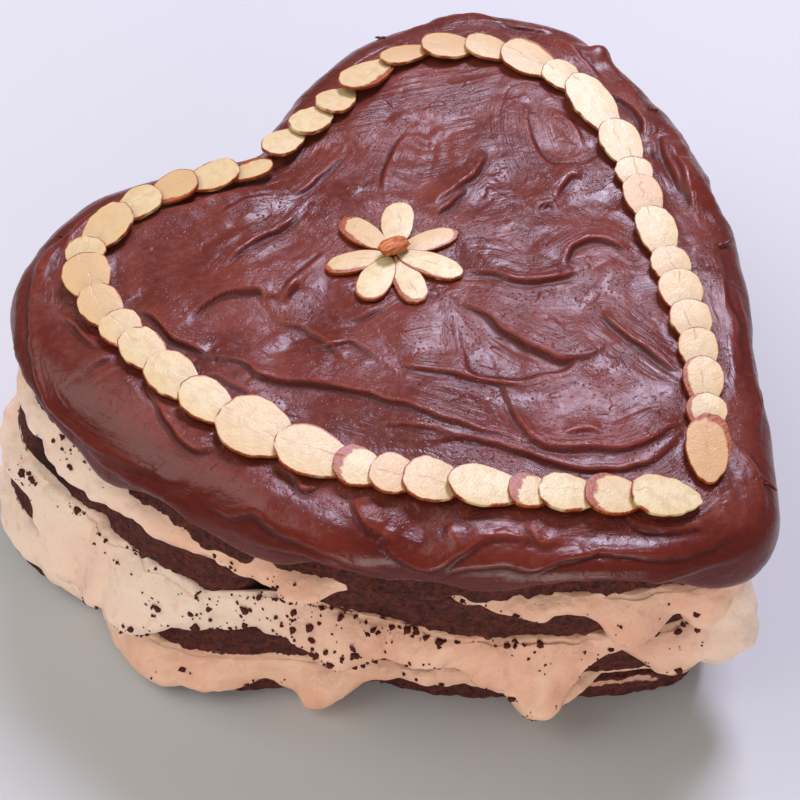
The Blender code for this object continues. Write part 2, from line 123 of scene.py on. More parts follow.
def even_outline():
    """The outline's smooth curve, read at even steps along its length, and that step."""
    curve = through(OUTLINE, closed=True)
    curve = np.vstack([curve, curve[:1]])
    distance = np.concatenate([[0], np.cumsum(np.linalg.norm(np.diff(curve, axis=0), axis=1))])
    steps = np.linspace(0, distance[-1], FINE * len(OUTLINE), endpoint=False)
    even = np.stack([np.interp(steps, distance, curve[:, axis]) for axis in (0, 1)], axis=1)
    return even, steps[1]


HEART, HEART_STEP = even_outline()
ROUND = HEART_STEP * len(HEART)
TANGENT = np.roll(HEART, -2, axis=0) - np.roll(HEART, 2, axis=0)
TANGENT /= np.linalg.norm(TANGENT, axis=1)[:, None]
HEART_OUT = np.stack([TANGENT[:, 1], -TANGENT[:, 0]], axis=1)
print("length round the heart:", round(ROUND), "mm")


# %% Stations
def at(values, stations):
    """Values kept at the outline's points, read in proportion between two of them."""
    low = np.floor(stations).astype(int)
    share = (stations - low)[:, None]
    return values[low % len(values)] * (1 - share) + values[(low + 1) % len(values)] * share


class Edge:
    """Stations on the outline: their places, outward vectors, angles and lean."""

    def __init__(self, stations):
        self.place = at(HEART, stations)
        self.out = at(HEART_OUT, stations)
        self.along = stations * HEART_STEP
        self.angle = np.degrees(np.arctan2(self.place[:, 1], self.place[:, 0]))
        self.lean = self.humps(LEANS, 2)

    def ring(self, offset, level):
        """Points this far outside the outline, at this level."""
        plan = self.place + self.out * np.broadcast_to(offset, len(self.place))[:, None]
        return np.column_stack([plan, np.broadcast_to(level, len(self.place))])

    def wall(self, level):
        """The layers' side: the lean times the share of the way down, less the inset."""
        return self.lean * (1 - np.asarray(level) / LEAN_TOP) - SPONGE_INSET

    def waves(self, height_and_count):
        """Small even waves: height times the sine of count times the angle."""
        height, count = height_and_count
        return height * np.sin(np.radians(self.angle * count))

    def hump(self, angle, width):
        """A bell about an angle, 1 at its middle."""
        return bell(turn_between(self.angle, angle), width)

    def humps(self, table, column):
        """The tallest of the table's humps at each station, one column giving heights."""
        tallest = np.zeros(len(self.place))
        for row in table:
            tallest = np.maximum(tallest, row[column] * self.hump(*row[:2]))
        return tallest


# %% [markdown]
# ## Unevenness
#
# Food is uneven at every size. One function gives smooth random lumps at any place in space, and
# a second one adds several sizes of them. Because they work on places and not on a grid's rows,
# no seam shows where a ring closes. Blender's own noise could do it too, but one point at a time.

# %% Lumps
LATTICE = 32


def lumps(points, size, seed):
    """Random values on a cubic lattice of this pitch, blended by ease between eight corners."""
    table = np.random.default_rng(seed).uniform(-1.6, 1.6, (LATTICE,) * 3)
    place = np.asarray(points) / size
    cell = np.floor(place).astype(int)
    near = ease(place - cell)
    total = np.zeros(place.shape[:-1])
    for corner in np.ndindex(2, 2, 2):
        weight = np.prod(np.where(corner, near, 1 - near), axis=-1)
        i, j, k = np.moveaxis((cell + corner) % LATTICE, -1, 0)
        total += weight * table[i, j, k]
    return total


def mixed_lumps(points, sizes, number=0, folded=False):
    """The sum of lumps of each height, size and seed, or of their amounts where folded."""
    total = 0
    for height, size, seed in sizes:
        layer = lumps(points, size, seed + number)
        total = total + height * (np.abs(layer) if folded else layer)
    return total


# %% [markdown]
# ## From arrays to meshes
#
# A layer is a stack of closed rings. Faces join each ring to the next, and a fan of triangles
# to one middle point closes each end. All pieces end up at the origin with their place in their
# mesh, ride on the cake's one body, and stand for the solids that they replace.

# %% Faces
def ring_faces(rows, count, first=0):
    """Quads between neighbouring rings of count points, turned outwards for rings that rise."""
    start = first + np.arange(rows - 1)[:, None] * count
    i = np.arange(count)[None]
    j = (i + 1) % count
    return np.stack([start + i, start + j, start + count + j, start + count + i], -1).reshape(-1, 4)


def fan_faces(start, count, pole, outwards):
    """Triangles from a ring's points to a pole."""
    i = start + np.arange(count)
    j = start + (np.arange(count) + 1) % count
    ends = (i, j) if outwards else (j, i)
    return np.stack([*ends, np.full(count, pole)], -1)


def capped_rings(rows, count, first=0):
    """Faces of rings and of the fans that close both ends, whose poles come after the rings."""
    last, pole = first + (rows - 1) * count, first + rows * count
    faces = ring_faces(rows, count, first).tolist()
    faces += fan_faces(first, count, pole, False).tolist()
    return faces + fan_faces(last, count, pole + 1, True).tolist()


# %% Pieces
def keep_piece(name, points, faces, nodes):
    """Writes the mesh, shades it smooth, sets it on the cake's body, and hides the solids it replaces."""
    mesh = bpy.data.meshes.new(name)
    mesh.from_pydata(((points - MIDDLE) * MM).tolist(), [], faces)
    mesh.shade_smooth()
    piece = bpy.data.objects.new(name, mesh)
    bpy.context.scene.collection.objects.link(piece)
    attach(piece, "root")
    if nodes:
        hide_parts(*nodes)
    print(name, "has", len(points), "points")
    return piece


def keep_value(piece, name, values):
    """A number at each of the mesh's points, for its material to read."""
    attribute = piece.data.attributes.new(name, "FLOAT", "POINT")
    attribute.data.foreach_set("value", np.asarray(values, np.float32).ravel())


def keep_layer(name, rings, nodes):
    """A closed solid from rings that run from its bottom face outwards and up to its top face."""
    poles = [[*CENTRE, ring[:, 2].mean()] for ring in (rings[0], rings[-1])]
    points = np.vstack([rings.reshape(-1, 3), poles])
    return keep_piece(name, points, capped_rings(*rings.shape[:2]), nodes)


# %% [markdown]
# ## Ganache: knife marks
#
# The ganache is spread with a palette knife, which leaves smooth facets that end in thin lips.
# A lip is modelled as a path: on one side the surface falls away gently, on the other it drops
# at once into a narrow groove. Sculpting could do the same by hand, but a list of paths keeps
# each mark editable. Paths run so that the drop is on their right.

# %% Marks on the top, each as height, steep width, gentle width, and its path
TOP_MARKS = (
    (1.5, 0.9, 6.0, ((-78, 35), (-71, 24), (-71, 16), (-60, 1), (-54, -11), (-45, -33), (-35, -51))),
    (1.4, 0.8, 5.0, ((-3, 4), (3, -3), (6, -10), (11, -16), (16, -19), (22, -21))),
    (1.5, 0.8, 5.0, ((-12, -4), (-10, -13), (-11, -21), (-10, -31), (-6, -41), (3, -45))),
    (0.7, 0.8, 3.0, ((3, -45), (-3, -44), (-10, -43), (-19, -38), (-25, -32), (-29, -23), (-18, -8))),
    (0.9, 0.8, 4.0, ((-40, -7), (-39, -12), (-32, -21), (-25, -32), (-21, -37))),
    (1.4, 0.9, 6.0, (
        (-25, -33), (-31, -44), (-33, -51), (-32, -57), (-24, -65), (-17, -72), (-8, -75), (0, -77),
    )),
    (1.2, 0.9, 5.0, ((-53, -33), (-46, -39), (-40, -49), (-33, -65), (-26, -72), (-17, -78), (-2, -79))),
    (0.8, 0.7, 2.0, ((-27, -56), (-22, -59), (-18, -64))),
    (1.5, 0.8, 4.0, ((21, -16), (25, -14), (29, -13), (35, -15), (39, -20), (40, -28))),
    (1.0, 0.8, 3.0, ((32, 7), (38, 5), (38, 1))),
    (1.0, 0.8, 3.0, ((41, 5), (51, 8), (56, 5))),
    (0.8, 0.8, 6.0, ((70, 7), (62, 7), (53, 13), (52, 20), (57, 29), (63, 36), (71, 42))),
    (0.9, 0.9, 4.0, ((33, 60), (21, 56), (11, 50), (4, 44))),
    (1.4, 0.8, 3.0, ((11, 29), (19, 30), (28, 30), (36, 32), (42, 36))),
    (1.3, 0.8, 3.0, ((3, 25), (11, 26), (20, 27), (26, 28))),
    (1.1, 1.0, 4.0, ((-17, 64), (-10, 64), (-2, 65), (8, 68))),
    (1.3, 0.9, 5.0, ((-18, 74), (-30, 79), (-42, 83), (-53, 89), (-65, 89), (-73, 89))),
    (0.8, 0.8, 3.0, ((-21, 67), (-27, 70), (-34, 72), (-39, 72))),
    (1.3, 0.8, 4.0, ((-53, 56), (-44, 57), (-33, 57), (-26, 57), (-19, 58))),
    (0.9, 0.7, 3.0, ((-18, 39), (-30, 38), (-42, 36), (-49, 33))),
    (1.1, 0.8, 3.0, ((-48, 33), (-45, 35), (-41, 35), (-40, 33))),
    (1.3, 0.8, 4.0, ((-74, 47), (-68, 49), (-59, 47), (-53, 43), (-50, 40), (-52, 36))),
    (1.7, 0.9, 4.0, ((-81, 62), (-79, 56), (-80, 44), (-78, 38), (-77, 33))),
    (0.8, 0.8, 4.0, ((-83, 29), (-80, 26), (-78, 18), (-77, 10), (-75, 3))),
    (0.8, 0.8, 3.0, ((-56, 31), (-52, 26), (-50, 20), (-50, 11), (-51, 4))),
    (1.0, 0.8, 3.0, ((-56, 17), (-50, 11), (-45, 8), (-44, 4), (-44, -4))),
    (1.0, 0.8, 3.0, ((-41, 14), (-33, 12), (-23, 10), (-20, 5))),
    (0.6, 0.8, 3.0, ((-59, -18), (-56, -23), (-51, -30), (-47, -37))),
    (1.3, 0.8, 4.0, ((15, -36), (13, -42), (13, -52), (13, -60), (13, -66))),
    (0.8, 0.8, 3.0, ((57, -24), (52, -18), (50, -8))),
    (0.8, 0.8, 3.0, ((66, 14), (72, 24), (72, 34))),
)

# %% [markdown]
# On the brim and the side a place is given by how far it is round the heart from its point, and
# how far it is above the brim, so that a mark can run over the shoulder and down the skirt.

# %% Marks on the brim and side, with paths as way round and height over the brim
SIDE_MARKS = (
    (1.6, 1.0, 5.0, (
        (425, 1), (445, -1), (465, -2), (485, -4), (498, -6), (520, -11), (541, -11), (577, -5),
    )),
    (1.1, 0.9, 3.0, ((440, -6), (465, -8), (485, -11), (501, -14), (521, -15))),
    (1.7, 0.9, 5.0, ((577, -8), (585, -8), (591, -5), (599, -6), (611, -7), (621, -10), (633, -14))),
    (1.2, 0.9, 4.0, ((617, 6), (622, 0), (627, -2), (632, -4))),
    (1.7, 0.9, 4.0, ((626, -3), (632, -7), (638, -9), (643, -8), (648, -4), (658, 0), (672, -1))),
    (1.8, 1.0, 5.0, ((641, -14), (648, -9), (659, -7), (669, -7), (684, -4), (704, -6), (726, -3))),
    (1.3, 0.8, 4.0, ((543, 11), (551, 7), (560, 3), (568, 2), (573, 5))),
    (0.9, 0.8, 3.0, ((493, 4), (501, 7), (513, 8), (519, 11))),
    (0.9, 0.8, 3.0, ((485, 12), (495, 15), (505, 19))),
    (1.0, 0.8, 4.0, ((521, 1), (522, 8), (525, 14))),
    (1.0, 0.8, 3.0, ((666, 4), (668, 1), (670, -1), (676, -1))),
    (1.2, 0.8, 3.0, ((587, 7), (596, 8), (603, 4), (606, 8))),
    (0.8, 0.8, 3.0, ((646, 3), (645, 0), (648, -3))),
    (1.2, 0.8, 4.0, ((689, 13), (692, 7), (698, 2), (712, 2), (722, 5))),
    (1.1, 0.8, 4.0, ((534, -13), (541, -15), (552, -15), (567, -13))),
    (1.3, 0.9, 3.0, ((30, -4), (41, -6), (55, -6), (70, -6), (86, -3))),
    (1.1, 0.9, 3.0, ((5, -4), (16, -2), (24, 2))),
    (0.9, 0.8, 3.0, ((49, 0), (67, -2), (82, 0), (104, 0))),
    (1.4, 0.9, 4.0, ((590, -13), (606, -11), (620, -13), (633, -17))),
    (1.2, 0.9, 4.0, ((655, -14), (675, -12), (700, -13), (722, -10))),
)

# %% Marks behind, laid by chance
# How many, and the bounds of each one's place, level, length, slope, bow, height and gentle width
BACK_MARKS = 30
BACK_REACH = (95, 470)
BACK_LEVELS = (-15, 6)
BACK_LENGTHS = (16, 46)
BACK_SLOPES = (-5, 5)
BACK_BOWS = (-4, 4)
BACK_HEIGHTS = (0.7, 1.7)
BACK_GENTLE = (3, 6)
BACK_STEEP = 0.9
# The share of them that run the other way round, so that their drop is above
BACK_REVERSED = 0.3


def back_marks():
    """Gently bowed paths: a slope, plus four times a bow times the way times 1 less the way."""
    chance = np.random.default_rng(11)
    marks = []
    for _ in range(BACK_MARKS):
        start = chance.uniform(*BACK_REACH)
        level = chance.uniform(*BACK_LEVELS)
        length = chance.uniform(*BACK_LENGTHS)
        slope = chance.uniform(*BACK_SLOPES)
        bow = chance.uniform(*BACK_BOWS)
        path = [(start + length * t, level + slope * t + bow * 4 * t * (1 - t)) for t in (0, 0.33, 0.67, 1)]
        if chance.random() < BACK_REVERSED:
            path.reverse()
        height = chance.uniform(*BACK_HEIGHTS)
        marks.append((height, BACK_STEEP, chance.uniform(*BACK_GENTLE), tuple(path)))
    return marks


# %% Mounds, pits, rough patches and the marks' section
# Mounds, as way round, height over the brim, half width and height
MOUNDS = ((205, -3, 3.4, 4.2), (212, 2, 3.0, 1.5), (622, 3, 3.0, 1.0), (570, -17, 6.0, 1.2))
# Pits in the top, as place, radius and depth
PITS = ((80, -5, 1.1, 1.6), (50, -39, 1.0, 1.6), (83, -9, 2.0, 0.8), (60, -16, 1.0, 1.2))
# Rough patches, where the knife lifted the ganache: place, radius and height
ROUGH = ((-42, 61, 11, 0.9), (36, 58, 9, 0.9), (30, 48, 8, 0.7), (-62, 22, 6, 0.4), (26, -6, 14, 0.35))
ROUGH_LUMPS = 0.4
# How far lips are nudged to and fro, and the size of the lumps that nudge them
RAG = 0.4
RAG_SIZE = 5.0
# The way the strokes run where no mark turns them, and the weakest facet that turns them
STROKES_TURNED = -28
WEAKEST_FACET = 0.04
# All marks stand this much higher than listed
HEIGHTEN = 1.15
# A mark is read this many gentle widths round its path. It fades by this power towards its ends,
# down to what it has at this share of its way
MARK_REACH = 4
END_FADE = 0.6
END_SHARE = 0.02
# A facet's length for its gentle width, how hollow it is, a drop's width for its steep width, and
# the crease's distance from the lip, its width, and its depth for the lip's height
FACET_SHARE = 2.8
FACET_CURVE = 1.4
STEEPNESS = 0.9
CREASE_AT = 1.4
CREASE_WIDTH = 0.7
CREASE_DEPTH = 0.22


# %% How a mark shapes the surface
def mark(across, up, height, steep, gentle, path):
    """Height and crease of one mark at places given by two arrays.

    On the left the height falls as a power of 1 less the distance over the facet's length,
    and on the right as a bell of the steep width. The crease is a second bell just beyond the
    drop. Both fade at the path's ends. The facet's strength and each place's distance from the
    path and way along it are returned too.
    """
    path = through(path, closed=False, steps=5)
    reach = MARK_REACH * gentle
    low, high = path.min(axis=0) - reach, path.max(axis=0) + reach
    inside = (across > low[0]) & (across < high[0]) & (up > low[1]) & (up < high[1])
    x, y = across[inside], up[inside]
    best = np.full(x.shape, np.inf)
    side = np.zeros(x.shape)
    share = np.zeros(x.shape)
    for step, (start, end) in enumerate(zip(path, path[1:])):
        run = end - start
        t = np.clip(((x - start[0]) * run[0] + (y - start[1]) * run[1]) / (run @ run), 0, 1)
        dx, dy = x - start[0] - t * run[0], y - start[1] - t * run[1]
        gap = np.hypot(dx, dy)
        nearer = gap < best
        best = np.where(nearer, gap, best)
        side = np.where(nearer, np.sign(run[0] * dy - run[1] * dx), side)
        share = np.where(nearer, (step + t) / (len(path) - 1), share)
    fade = np.sin(np.pi * np.clip(share, END_SHARE, 1 - END_SHARE)) ** END_FADE
    facet = np.clip(1 - best / (FACET_SHARE * gentle), 0, 1) ** FACET_CURVE
    lip = np.where(side > 0, facet, bell(best, steep * STEEPNESS))
    groove = np.where(side > 0, 0.0, bell(best - CREASE_AT, CREASE_WIDTH))
    length = np.linalg.norm(np.diff(path, axis=0), axis=1).sum()
    tall = height * HEIGHTEN
    found = np.zeros((5, *across.shape))
    found[:, inside] = [tall * lip * fade, tall * groove * fade, facet * fade, best, share * length]
    return found


print("marks on top:", len(TOP_MARKS), "on the side:", len(SIDE_MARKS), "behind:", BACK_MARKS)


# %% [markdown]
# ## Ganache: the cap
#
# The cap's top is a square grid pressed into a disc and then out to the heart, so that no point
# is crowded. Its rim carries on as rings down the shoulder to the scalloped skirt, round its
# lower lip, and back up to the underside.

# %% The cap's sizes
# The skirt's usual level, and its scallops as angle, half width and drop
SKIRT = 84.5
SCALLOPS = (
    (149, 6, -4.0), (165, 5, 6.0), (174, 4, -4.5), (-169, 5, 5.0), (-160, 4, -4.5),
    (-152, 4, 3.5), (-144, 4, -1.0), (-135, 4, 3.0), (-118, 8, -6.0), (-100, 6, 9.0),
    (-70, 8, 3.0), (-48, 6, -3.0), (-20, 9, 4.0), (5, 6, -2.0), (32, 8, 4.5), (62, 7, -3.0),
    (90, 8, 4.0), (118, 8, -2.0), (132, 6, 3.0),
)
SKIRT_THICKNESS = 3.6
SKIRT_LIP = 0.8
# The side's profile, as distance outside the outline and share of the way down the skirt
GANACHE_SIDE = ((-5.0, 0.10), (-1.6, 0.30), (0.0, 0.55), (0.6, 0.85), (-1.4, 1.0))
# How fine the cap is: cells along the square grid, and rings to a span of the profile
CELLS = 270
SIDE_STEPS = 4
# How much lower the top is at its brim, and how far in from it this begins
BRIM_FALL = 1.6
BRIM_REACH = 12.0
# The almonds' middle lines, and how far round them the marks are flattened
FLOWER = np.array([-12.5, 23.0])
LEFT_ARM = (
    (-14, 76), (-29, 87), (-53, 94), (-74, 92), (-87, 77), (-90, 48), (-89, 17), (-80, -15),
    (-65, -41), (-43, -69), (-24, -89), (-17, -97),
)
RIGHT_ARM = (
    (-12, 82), (9, 84), (31, 87), (56, 89), (78, 73), (87, 52), (85, 30), (75, 5), (58, -17),
    (42, -40), (25, -62), (3, -82), (-14, -95),
)
BORDER_PATCH = 5.0
FLOWER_PATCH = 19.0
PATCH_FADE = 5.0


# %% From a square to the heart
def square_to_disc(cells):
    """A square grid spread over a disc, with its rim in order round it.

    Each way shrinks by the root of 1 less half the other squared.
    """
    row = np.linspace(-1, 1, cells + 1)
    s, t = np.meshgrid(row, row)
    u = s * np.sqrt(1 - t**2 / 2)
    v = t * np.sqrt(1 - s**2 / 2)
    index = np.arange((cells + 1) ** 2).reshape(cells + 1, cells + 1)
    rim = np.concatenate([index[0, :-1], index[:-1, -1], index[-1, :0:-1], index[:0:-1, 0]])
    return u.ravel(), v.ravel(), index, rim


def nearest_on_heart(plan):
    """For each place, how far round the heart it is, and its depth inside the outline."""
    coarse = slice(None, None, 3)
    along = np.arange(len(HEART))[coarse] * HEART_STEP
    around, depth = np.empty(len(plan)), np.empty(len(plan))
    for block in np.array_split(np.arange(len(plan)), 60):
        gap = plan[block][:, None] - HEART[coarse][None]
        nearest = (gap**2).sum(axis=2).argmin(axis=1)
        gap = gap[np.arange(len(block)), nearest]
        around[block] = along[nearest] + (gap * TANGENT[coarse][nearest]).sum(axis=1)
        depth[block] = -(gap * HEART_OUT[coarse][nearest]).sum(axis=1)
    return around, depth


def clear_of_nuts(plan):
    """0 where the almonds lie, 1 away from them, by distance from their middle lines."""
    clear = np.ones(len(plan))
    for arm in (LEFT_ARM, RIGHT_ARM):
        path = through(arm, closed=False, steps=12)
        gap = np.sqrt(((plan[:, None] - path[None]) ** 2).sum(axis=2).min(axis=1))
        clear *= ease((gap - BORDER_PATCH) / PATCH_FADE)
    gap = np.linalg.norm(plan - FLOWER, axis=1)
    return clear * ease((gap - FLOWER_PATCH) / PATCH_FADE)


# %% Lay out the cap's points
disc_u, disc_v, grid, rim = square_to_disc(CELLS)
inside = HEART - HEART_OUT * SHOULDER - CENTRE
bearing = np.unwrap(np.arctan2(inside[:, 1], inside[:, 0]))
turned = np.mod(np.arctan2(disc_v, disc_u) - bearing[0], 2 * np.pi) + bearing[0]
station = np.interp(turned, [*bearing, bearing[0] + 2 * np.pi], np.arange(len(HEART) + 1))
top_plan = CENTRE + np.hypot(disc_u, disc_v)[:, None] * at(inside, station)
top_round, top_depth = nearest_on_heart(top_plan)

cap_edge = Edge(station[rim])
profile = through([(-SHOULDER, 0.0), *GANACHE_SIDE], closed=False, steps=SIDE_STEPS)[1:]
brim = TOP - BRIM_FALL
skirt = SKIRT - sum(drop * cap_edge.hump(angle, width) for angle, width, drop in SCALLOPS)
skirt += 0.5 * lumps(cap_edge.ring(0, SKIRT), 7, 3)
side_rings = []
for offset, share in profile:
    level = brim - share * (brim - skirt)
    side_rings.append(cap_edge.ring(cap_edge.wall(level) + SPONGE_INSET + offset, level))
side_rings = np.array(side_rings)
print("cap:", len(top_plan), "points on top,", side_rings.shape[:2], "on its side")

# %% [markdown]
# ## Ganache: relief
#
# Relief is added along a direction that turns from straight up on the top to straight out on the
# side. Lumps of three sizes make it hand-spread, and the places are nudged a little before the
# marks are read, so that their lips come out ragged. Each point also keeps its distance from the
# mark whose facet is strongest there and its way along it, for the knife's fine strokes.

# %% Relief on the cap
flat_top = np.column_stack([top_plan, np.full(len(top_plan), TOP)])
fall = BRIM_FALL * np.clip(1 - (top_depth - SHOULDER) / BRIM_REACH, 0, 1) ** 2
flat_top[:, 2] -= fall
side_steps = np.linalg.norm(np.diff(np.vstack([flat_top[rim][None], side_rings]), axis=0), axis=2)
side_height = -np.cumsum(side_steps, axis=0)

cap = np.vstack([flat_top, side_rings.reshape(-1, 3)])
cap_round = np.concatenate([top_round, np.tile(cap_edge.along, len(side_rings))])
cap_height = np.concatenate([top_depth - SHOULDER, side_height.ravel()])
cap_out = np.vstack([at(HEART_OUT, top_round / HEART_STEP), np.tile(cap_edge.out, (len(side_rings), 1))])

nudge = np.column_stack([lumps(cap, RAG_SIZE, seed) for seed in (21, 22)]) * RAG
rise, dip = np.zeros(len(cap)), np.zeros(len(cap))
# Away from any mark the knife's strokes run straight across the top
turn = math.radians(STROKES_TURNED)
stroke_across = cap[:, 1] * math.cos(turn) - cap[:, 0] * math.sin(turn)
stroke_along = cap[:, 0] * math.cos(turn) + cap[:, 1] * math.sin(turn)
strongest = np.full(len(cap), WEAKEST_FACET)
# Marks on the top begin at the brim and are whole this far inside it
MARK_START = 4
top_share = np.clip(cap_height / MARK_START, 0, 1)


def found_marks():
    """Each mark's arrays over the cap, with the share of it that counts at each point."""
    for row in TOP_MARKS:
        yield mark(cap[:, 0] + nudge[:, 0], cap[:, 1] + nudge[:, 1], *row), top_share
    for row in (*SIDE_MARKS, *back_marks()):
        middle = np.mean([point[0] for point in row[3]])
        around = (cap_round - middle + ROUND / 2) % ROUND + middle - ROUND / 2
        yield mark(around + nudge[:, 0], cap_height + nudge[:, 1], *row), 1.0


for (up, down, facet, distance, way), share in found_marks():
    stronger = facet * share > strongest
    rise, dip = rise + up * share, dip + down * share
    stroke_across = np.where(stronger, distance, stroke_across)
    stroke_along = np.where(stronger, way, stroke_along)
    strongest = np.where(stronger, facet * share, strongest)
print("highest lip:", round(rise.max(), 1), "mm")

# %% Mounds, pits and rough patches
# Lumps of the whole cap, as height, size and seed
SWELL = ((0.95, 25, 32), (0.30, 10, 33), (0.08, 4, 34))
# What is left of the marks and of the lumps where almonds lie
MARKS_UNDER = 0.15
SWELL_UNDER = 0.3
# Relief turns from up to outwards from this height over the brim, through this much
TURN_FROM = 4
TURN_THROUGH = 14


def far_from(x, y):
    """How far each point of the cap is from a place, seen from above."""
    return np.hypot(cap[:, 0] - x, cap[:, 1] - y)


for around, height, width, tall in MOUNDS:
    way = turn_between((cap_round - around) / ROUND * 360, 0) / 360 * ROUND
    rise += tall * bell(np.hypot(way, cap_height - height), width)
for x, y, radius, depth in PITS:
    dip += depth * bell(far_from(x, y), radius)
rough, ragged = np.zeros(len(cap)), lumps(cap, 3.5, 31)
for x, y, radius, height in ROUGH:
    patch = bell(far_from(x, y), radius) * top_share
    rough = np.maximum(rough, patch)
    rise += height * patch * ROUGH_LUMPS * ragged
clear = np.where(cap_height > 0, clear_of_nuts(cap[:, :2]), 1.0)
relief = (rise - CREASE_DEPTH * dip) * (MARKS_UNDER + (1 - MARKS_UNDER) * clear)
relief = relief + mixed_lumps(cap, SWELL) * (SWELL_UNDER + (1 - SWELL_UNDER) * clear)
lean_out = ease((TURN_FROM - cap_height) / TURN_THROUGH) * np.pi / 2
direction = np.column_stack([cap_out * np.sin(lean_out)[:, None], np.cos(lean_out)])
cap = cap + direction * relief[:, None]

# %% [markdown]
# ## Ganache: unbroken strokes
#
# The fine strokes that the knife's edge leaves are drawn by the finish, which reads a point's
# distance from a mark and its way along it. Where one mark takes over from another these numbers
# jump, and a line would show, so each point also keeps whether its strokes run on unbroken.

# %% Where the strokes run on without a break
# The largest steps, across and along, between neighbouring points of unbroken strokes
STROKE_JUMPS = (1.7, 3.5)


def unbroken(index):
    """0 at the points within two of a jump in the strokes over a grid of points, 1 elsewhere."""
    calm = np.ones(index.shape)
    for values, most in zip((stroke_across, stroke_along), STROKE_JUMPS):
        for axis in (0, 1):
            jump = np.abs(values[index] - np.roll(values[index], 1, axis)) > most
            calm[jump | np.roll(jump, -1, axis)] = 0
    for axis in (0, 1):
        calm = np.minimum(calm, np.minimum(np.roll(calm, 1, axis), np.roll(calm, -1, axis)))
    return calm


calm = np.ones(len(cap))
side_grid = len(flat_top) + np.arange(side_rings[..., 0].size).reshape(side_rings.shape[:2])
for index in (grid, side_grid):
    calm[index] = unbroken(index)
print("strokes unbroken at", round(calm.mean() * 100), "% of the cap's points")

# %% Close the cap and keep it
lip_level = skirt + SKIRT_LIP
under_level = SPONGE_LEVELS[3][1] + GAP
inner = [
    cap_edge.ring(cap_edge.wall(level) + SPONGE_INSET - SKIRT_THICKNESS, level)
    for level in (lip_level, (lip_level + under_level) / 2, under_level)
]
points = np.vstack([cap, *inner, [[*CENTRE, under_level]]])
count = len(rim)
first = len(flat_top)
rows = len(side_rings) + len(inner)
quads = np.stack([grid[:-1, :-1], grid[:-1, 1:], grid[1:, 1:], grid[1:, :-1]], -1).reshape(-1, 4)
following = np.roll(np.arange(count), -1)
shoulder = np.stack([rim[following], rim, first + np.arange(count), first + following], -1)
faces = np.vstack([quads, shoulder, ring_faces(rows, count, first)[:, ::-1]]).tolist()
faces += fan_faces(first + (rows - 1) * count, count, len(points) - 1, False).tolist()
ganache = keep_piece("ganache_cap", points, faces, ["ganache"])
# What the finish reads: each value on the cap, and the one number that its underside has
kept_values = {
    # How deep the grooves are, for the painted shade in them and their gloss
    "groove": (np.clip(dip * clear, 0, 1.6), 0),
    # How high the lips stand, for the painted highlight on them
    "lip": (np.clip(rise * clear, 0, 2.0), 0),
    # How far down the side a point is, for the side's painted shade, its gloss and its coat
    "side": (ease((TURN_FROM - cap_height) / 10), 1),
    "rough": (rough, 0),
    "stroke_across": (stroke_across, 0),
    "stroke_along": (stroke_along, 0),
    "calm": (calm, 0),
    # How strong the facet is, which places the painted highlight along its lip
    "facet": (strongest, 0),
}
for name, (values, under) in kept_values.items():
    keep_value(ganache, name, np.append(values, np.full(len(points) - len(cap), under)))

# %% [markdown]
# ## Ganache: tips
#
# Where the knife was pulled away, it drew out thin hooked tips at the brim. Each is a ring
# carried along a bent path and drawn down to a point, its root sunk in the cap.

# %% Tips, each as way round, height over the brim, length, thickness, slope and sideways bend
TIPS = (
    (102, -2, 5.5, 1.4, 0.3, 3.0), (16, -3, 5.0, 1.5, -0.1, -3.0), (300, -6, 3.5, 1.2, -0.1, 1.5),
    (452, -2, 3.0, 1.1, 0.3, 1.2), (170, -3, 3.0, 1.1, 0.1, -1.2),
)
# Points round a tip, rings along it, and how deep its root is sunk
TIP_SIDES = 10
TIP_RINGS = 12
TIP_ROOT = 1.5


def tip(around, height, length, thickness, slope, bend):
    """Rings round a path that starts under the surface and bends as its way squared."""
    nearest = np.argmin(np.hypot(cap_round - around, cap_height - height))
    root = cap[nearest]
    out = np.append(cap_out[nearest], slope)
    aside = np.array([-out[1], out[0], 0.0])
    t = np.linspace(0, 1, TIP_RINGS)[:, None]
    path = root + out * (t * length - TIP_ROOT) + aside * bend * t**2
    turn = np.linspace(0, 2 * np.pi, TIP_SIDES, endpoint=False)
    radius = thickness * (1 - 0.9 * t) ** 0.8 * (1 + 0.15 * np.sin(9 * t))
    across = np.cos(turn)[:, None] * aside + np.sin(turn)[:, None] * np.array([0.0, 0.0, 1.0])
    return path[:, None] + radius[:, None] * across[None]


tip_points, tip_faces = [], []
for row in TIPS:
    rings = tip(*row)
    tip_faces += capped_rings(TIP_RINGS, TIP_SIDES, sum(len(block) for block in tip_points))
    tip_points.append(np.vstack([*rings, rings[0].mean(axis=0), rings[-1].mean(axis=0)]))
tips = keep_piece("ganache_tips", np.vstack(tip_points), tip_faces, [])
# The tips take the side's finish, with its painted shade
keep_value(tips, "side", np.ones(len(tips.data.vertices)))

# %% [markdown]
# ## Sponges
#
# Each sponge is a torn, crumbly side between two level cuts. Its rings are set back by lumps of
# three sizes, folded so that all of them count inwards, because crumbs fall off. A few chunks are
# missing altogether, and in some places loose sponge hangs over the cream below.

# %% The sponges' sizes
# Stations round a layer, and rings up a sponge's side
STATIONS = 900
SPONGE_ROWS = 26
# Lumps of the torn side, as height, size and seed
TORN_LUMPS = ((0.9, 6.0, 41), (0.55, 2.6, 51), (0.35, 1.3, 61))
# A level cut's edge is rounded off by this much over this height
CUT_ROUNDING = 0.7
CUT_HEIGHT = 1.2
# Loose sponge hangs from this far up the side
LOOSE_HEIGHT = 7
# A tear this deep or deeper gets the darkest painted shade
DEEP_TEAR = 6
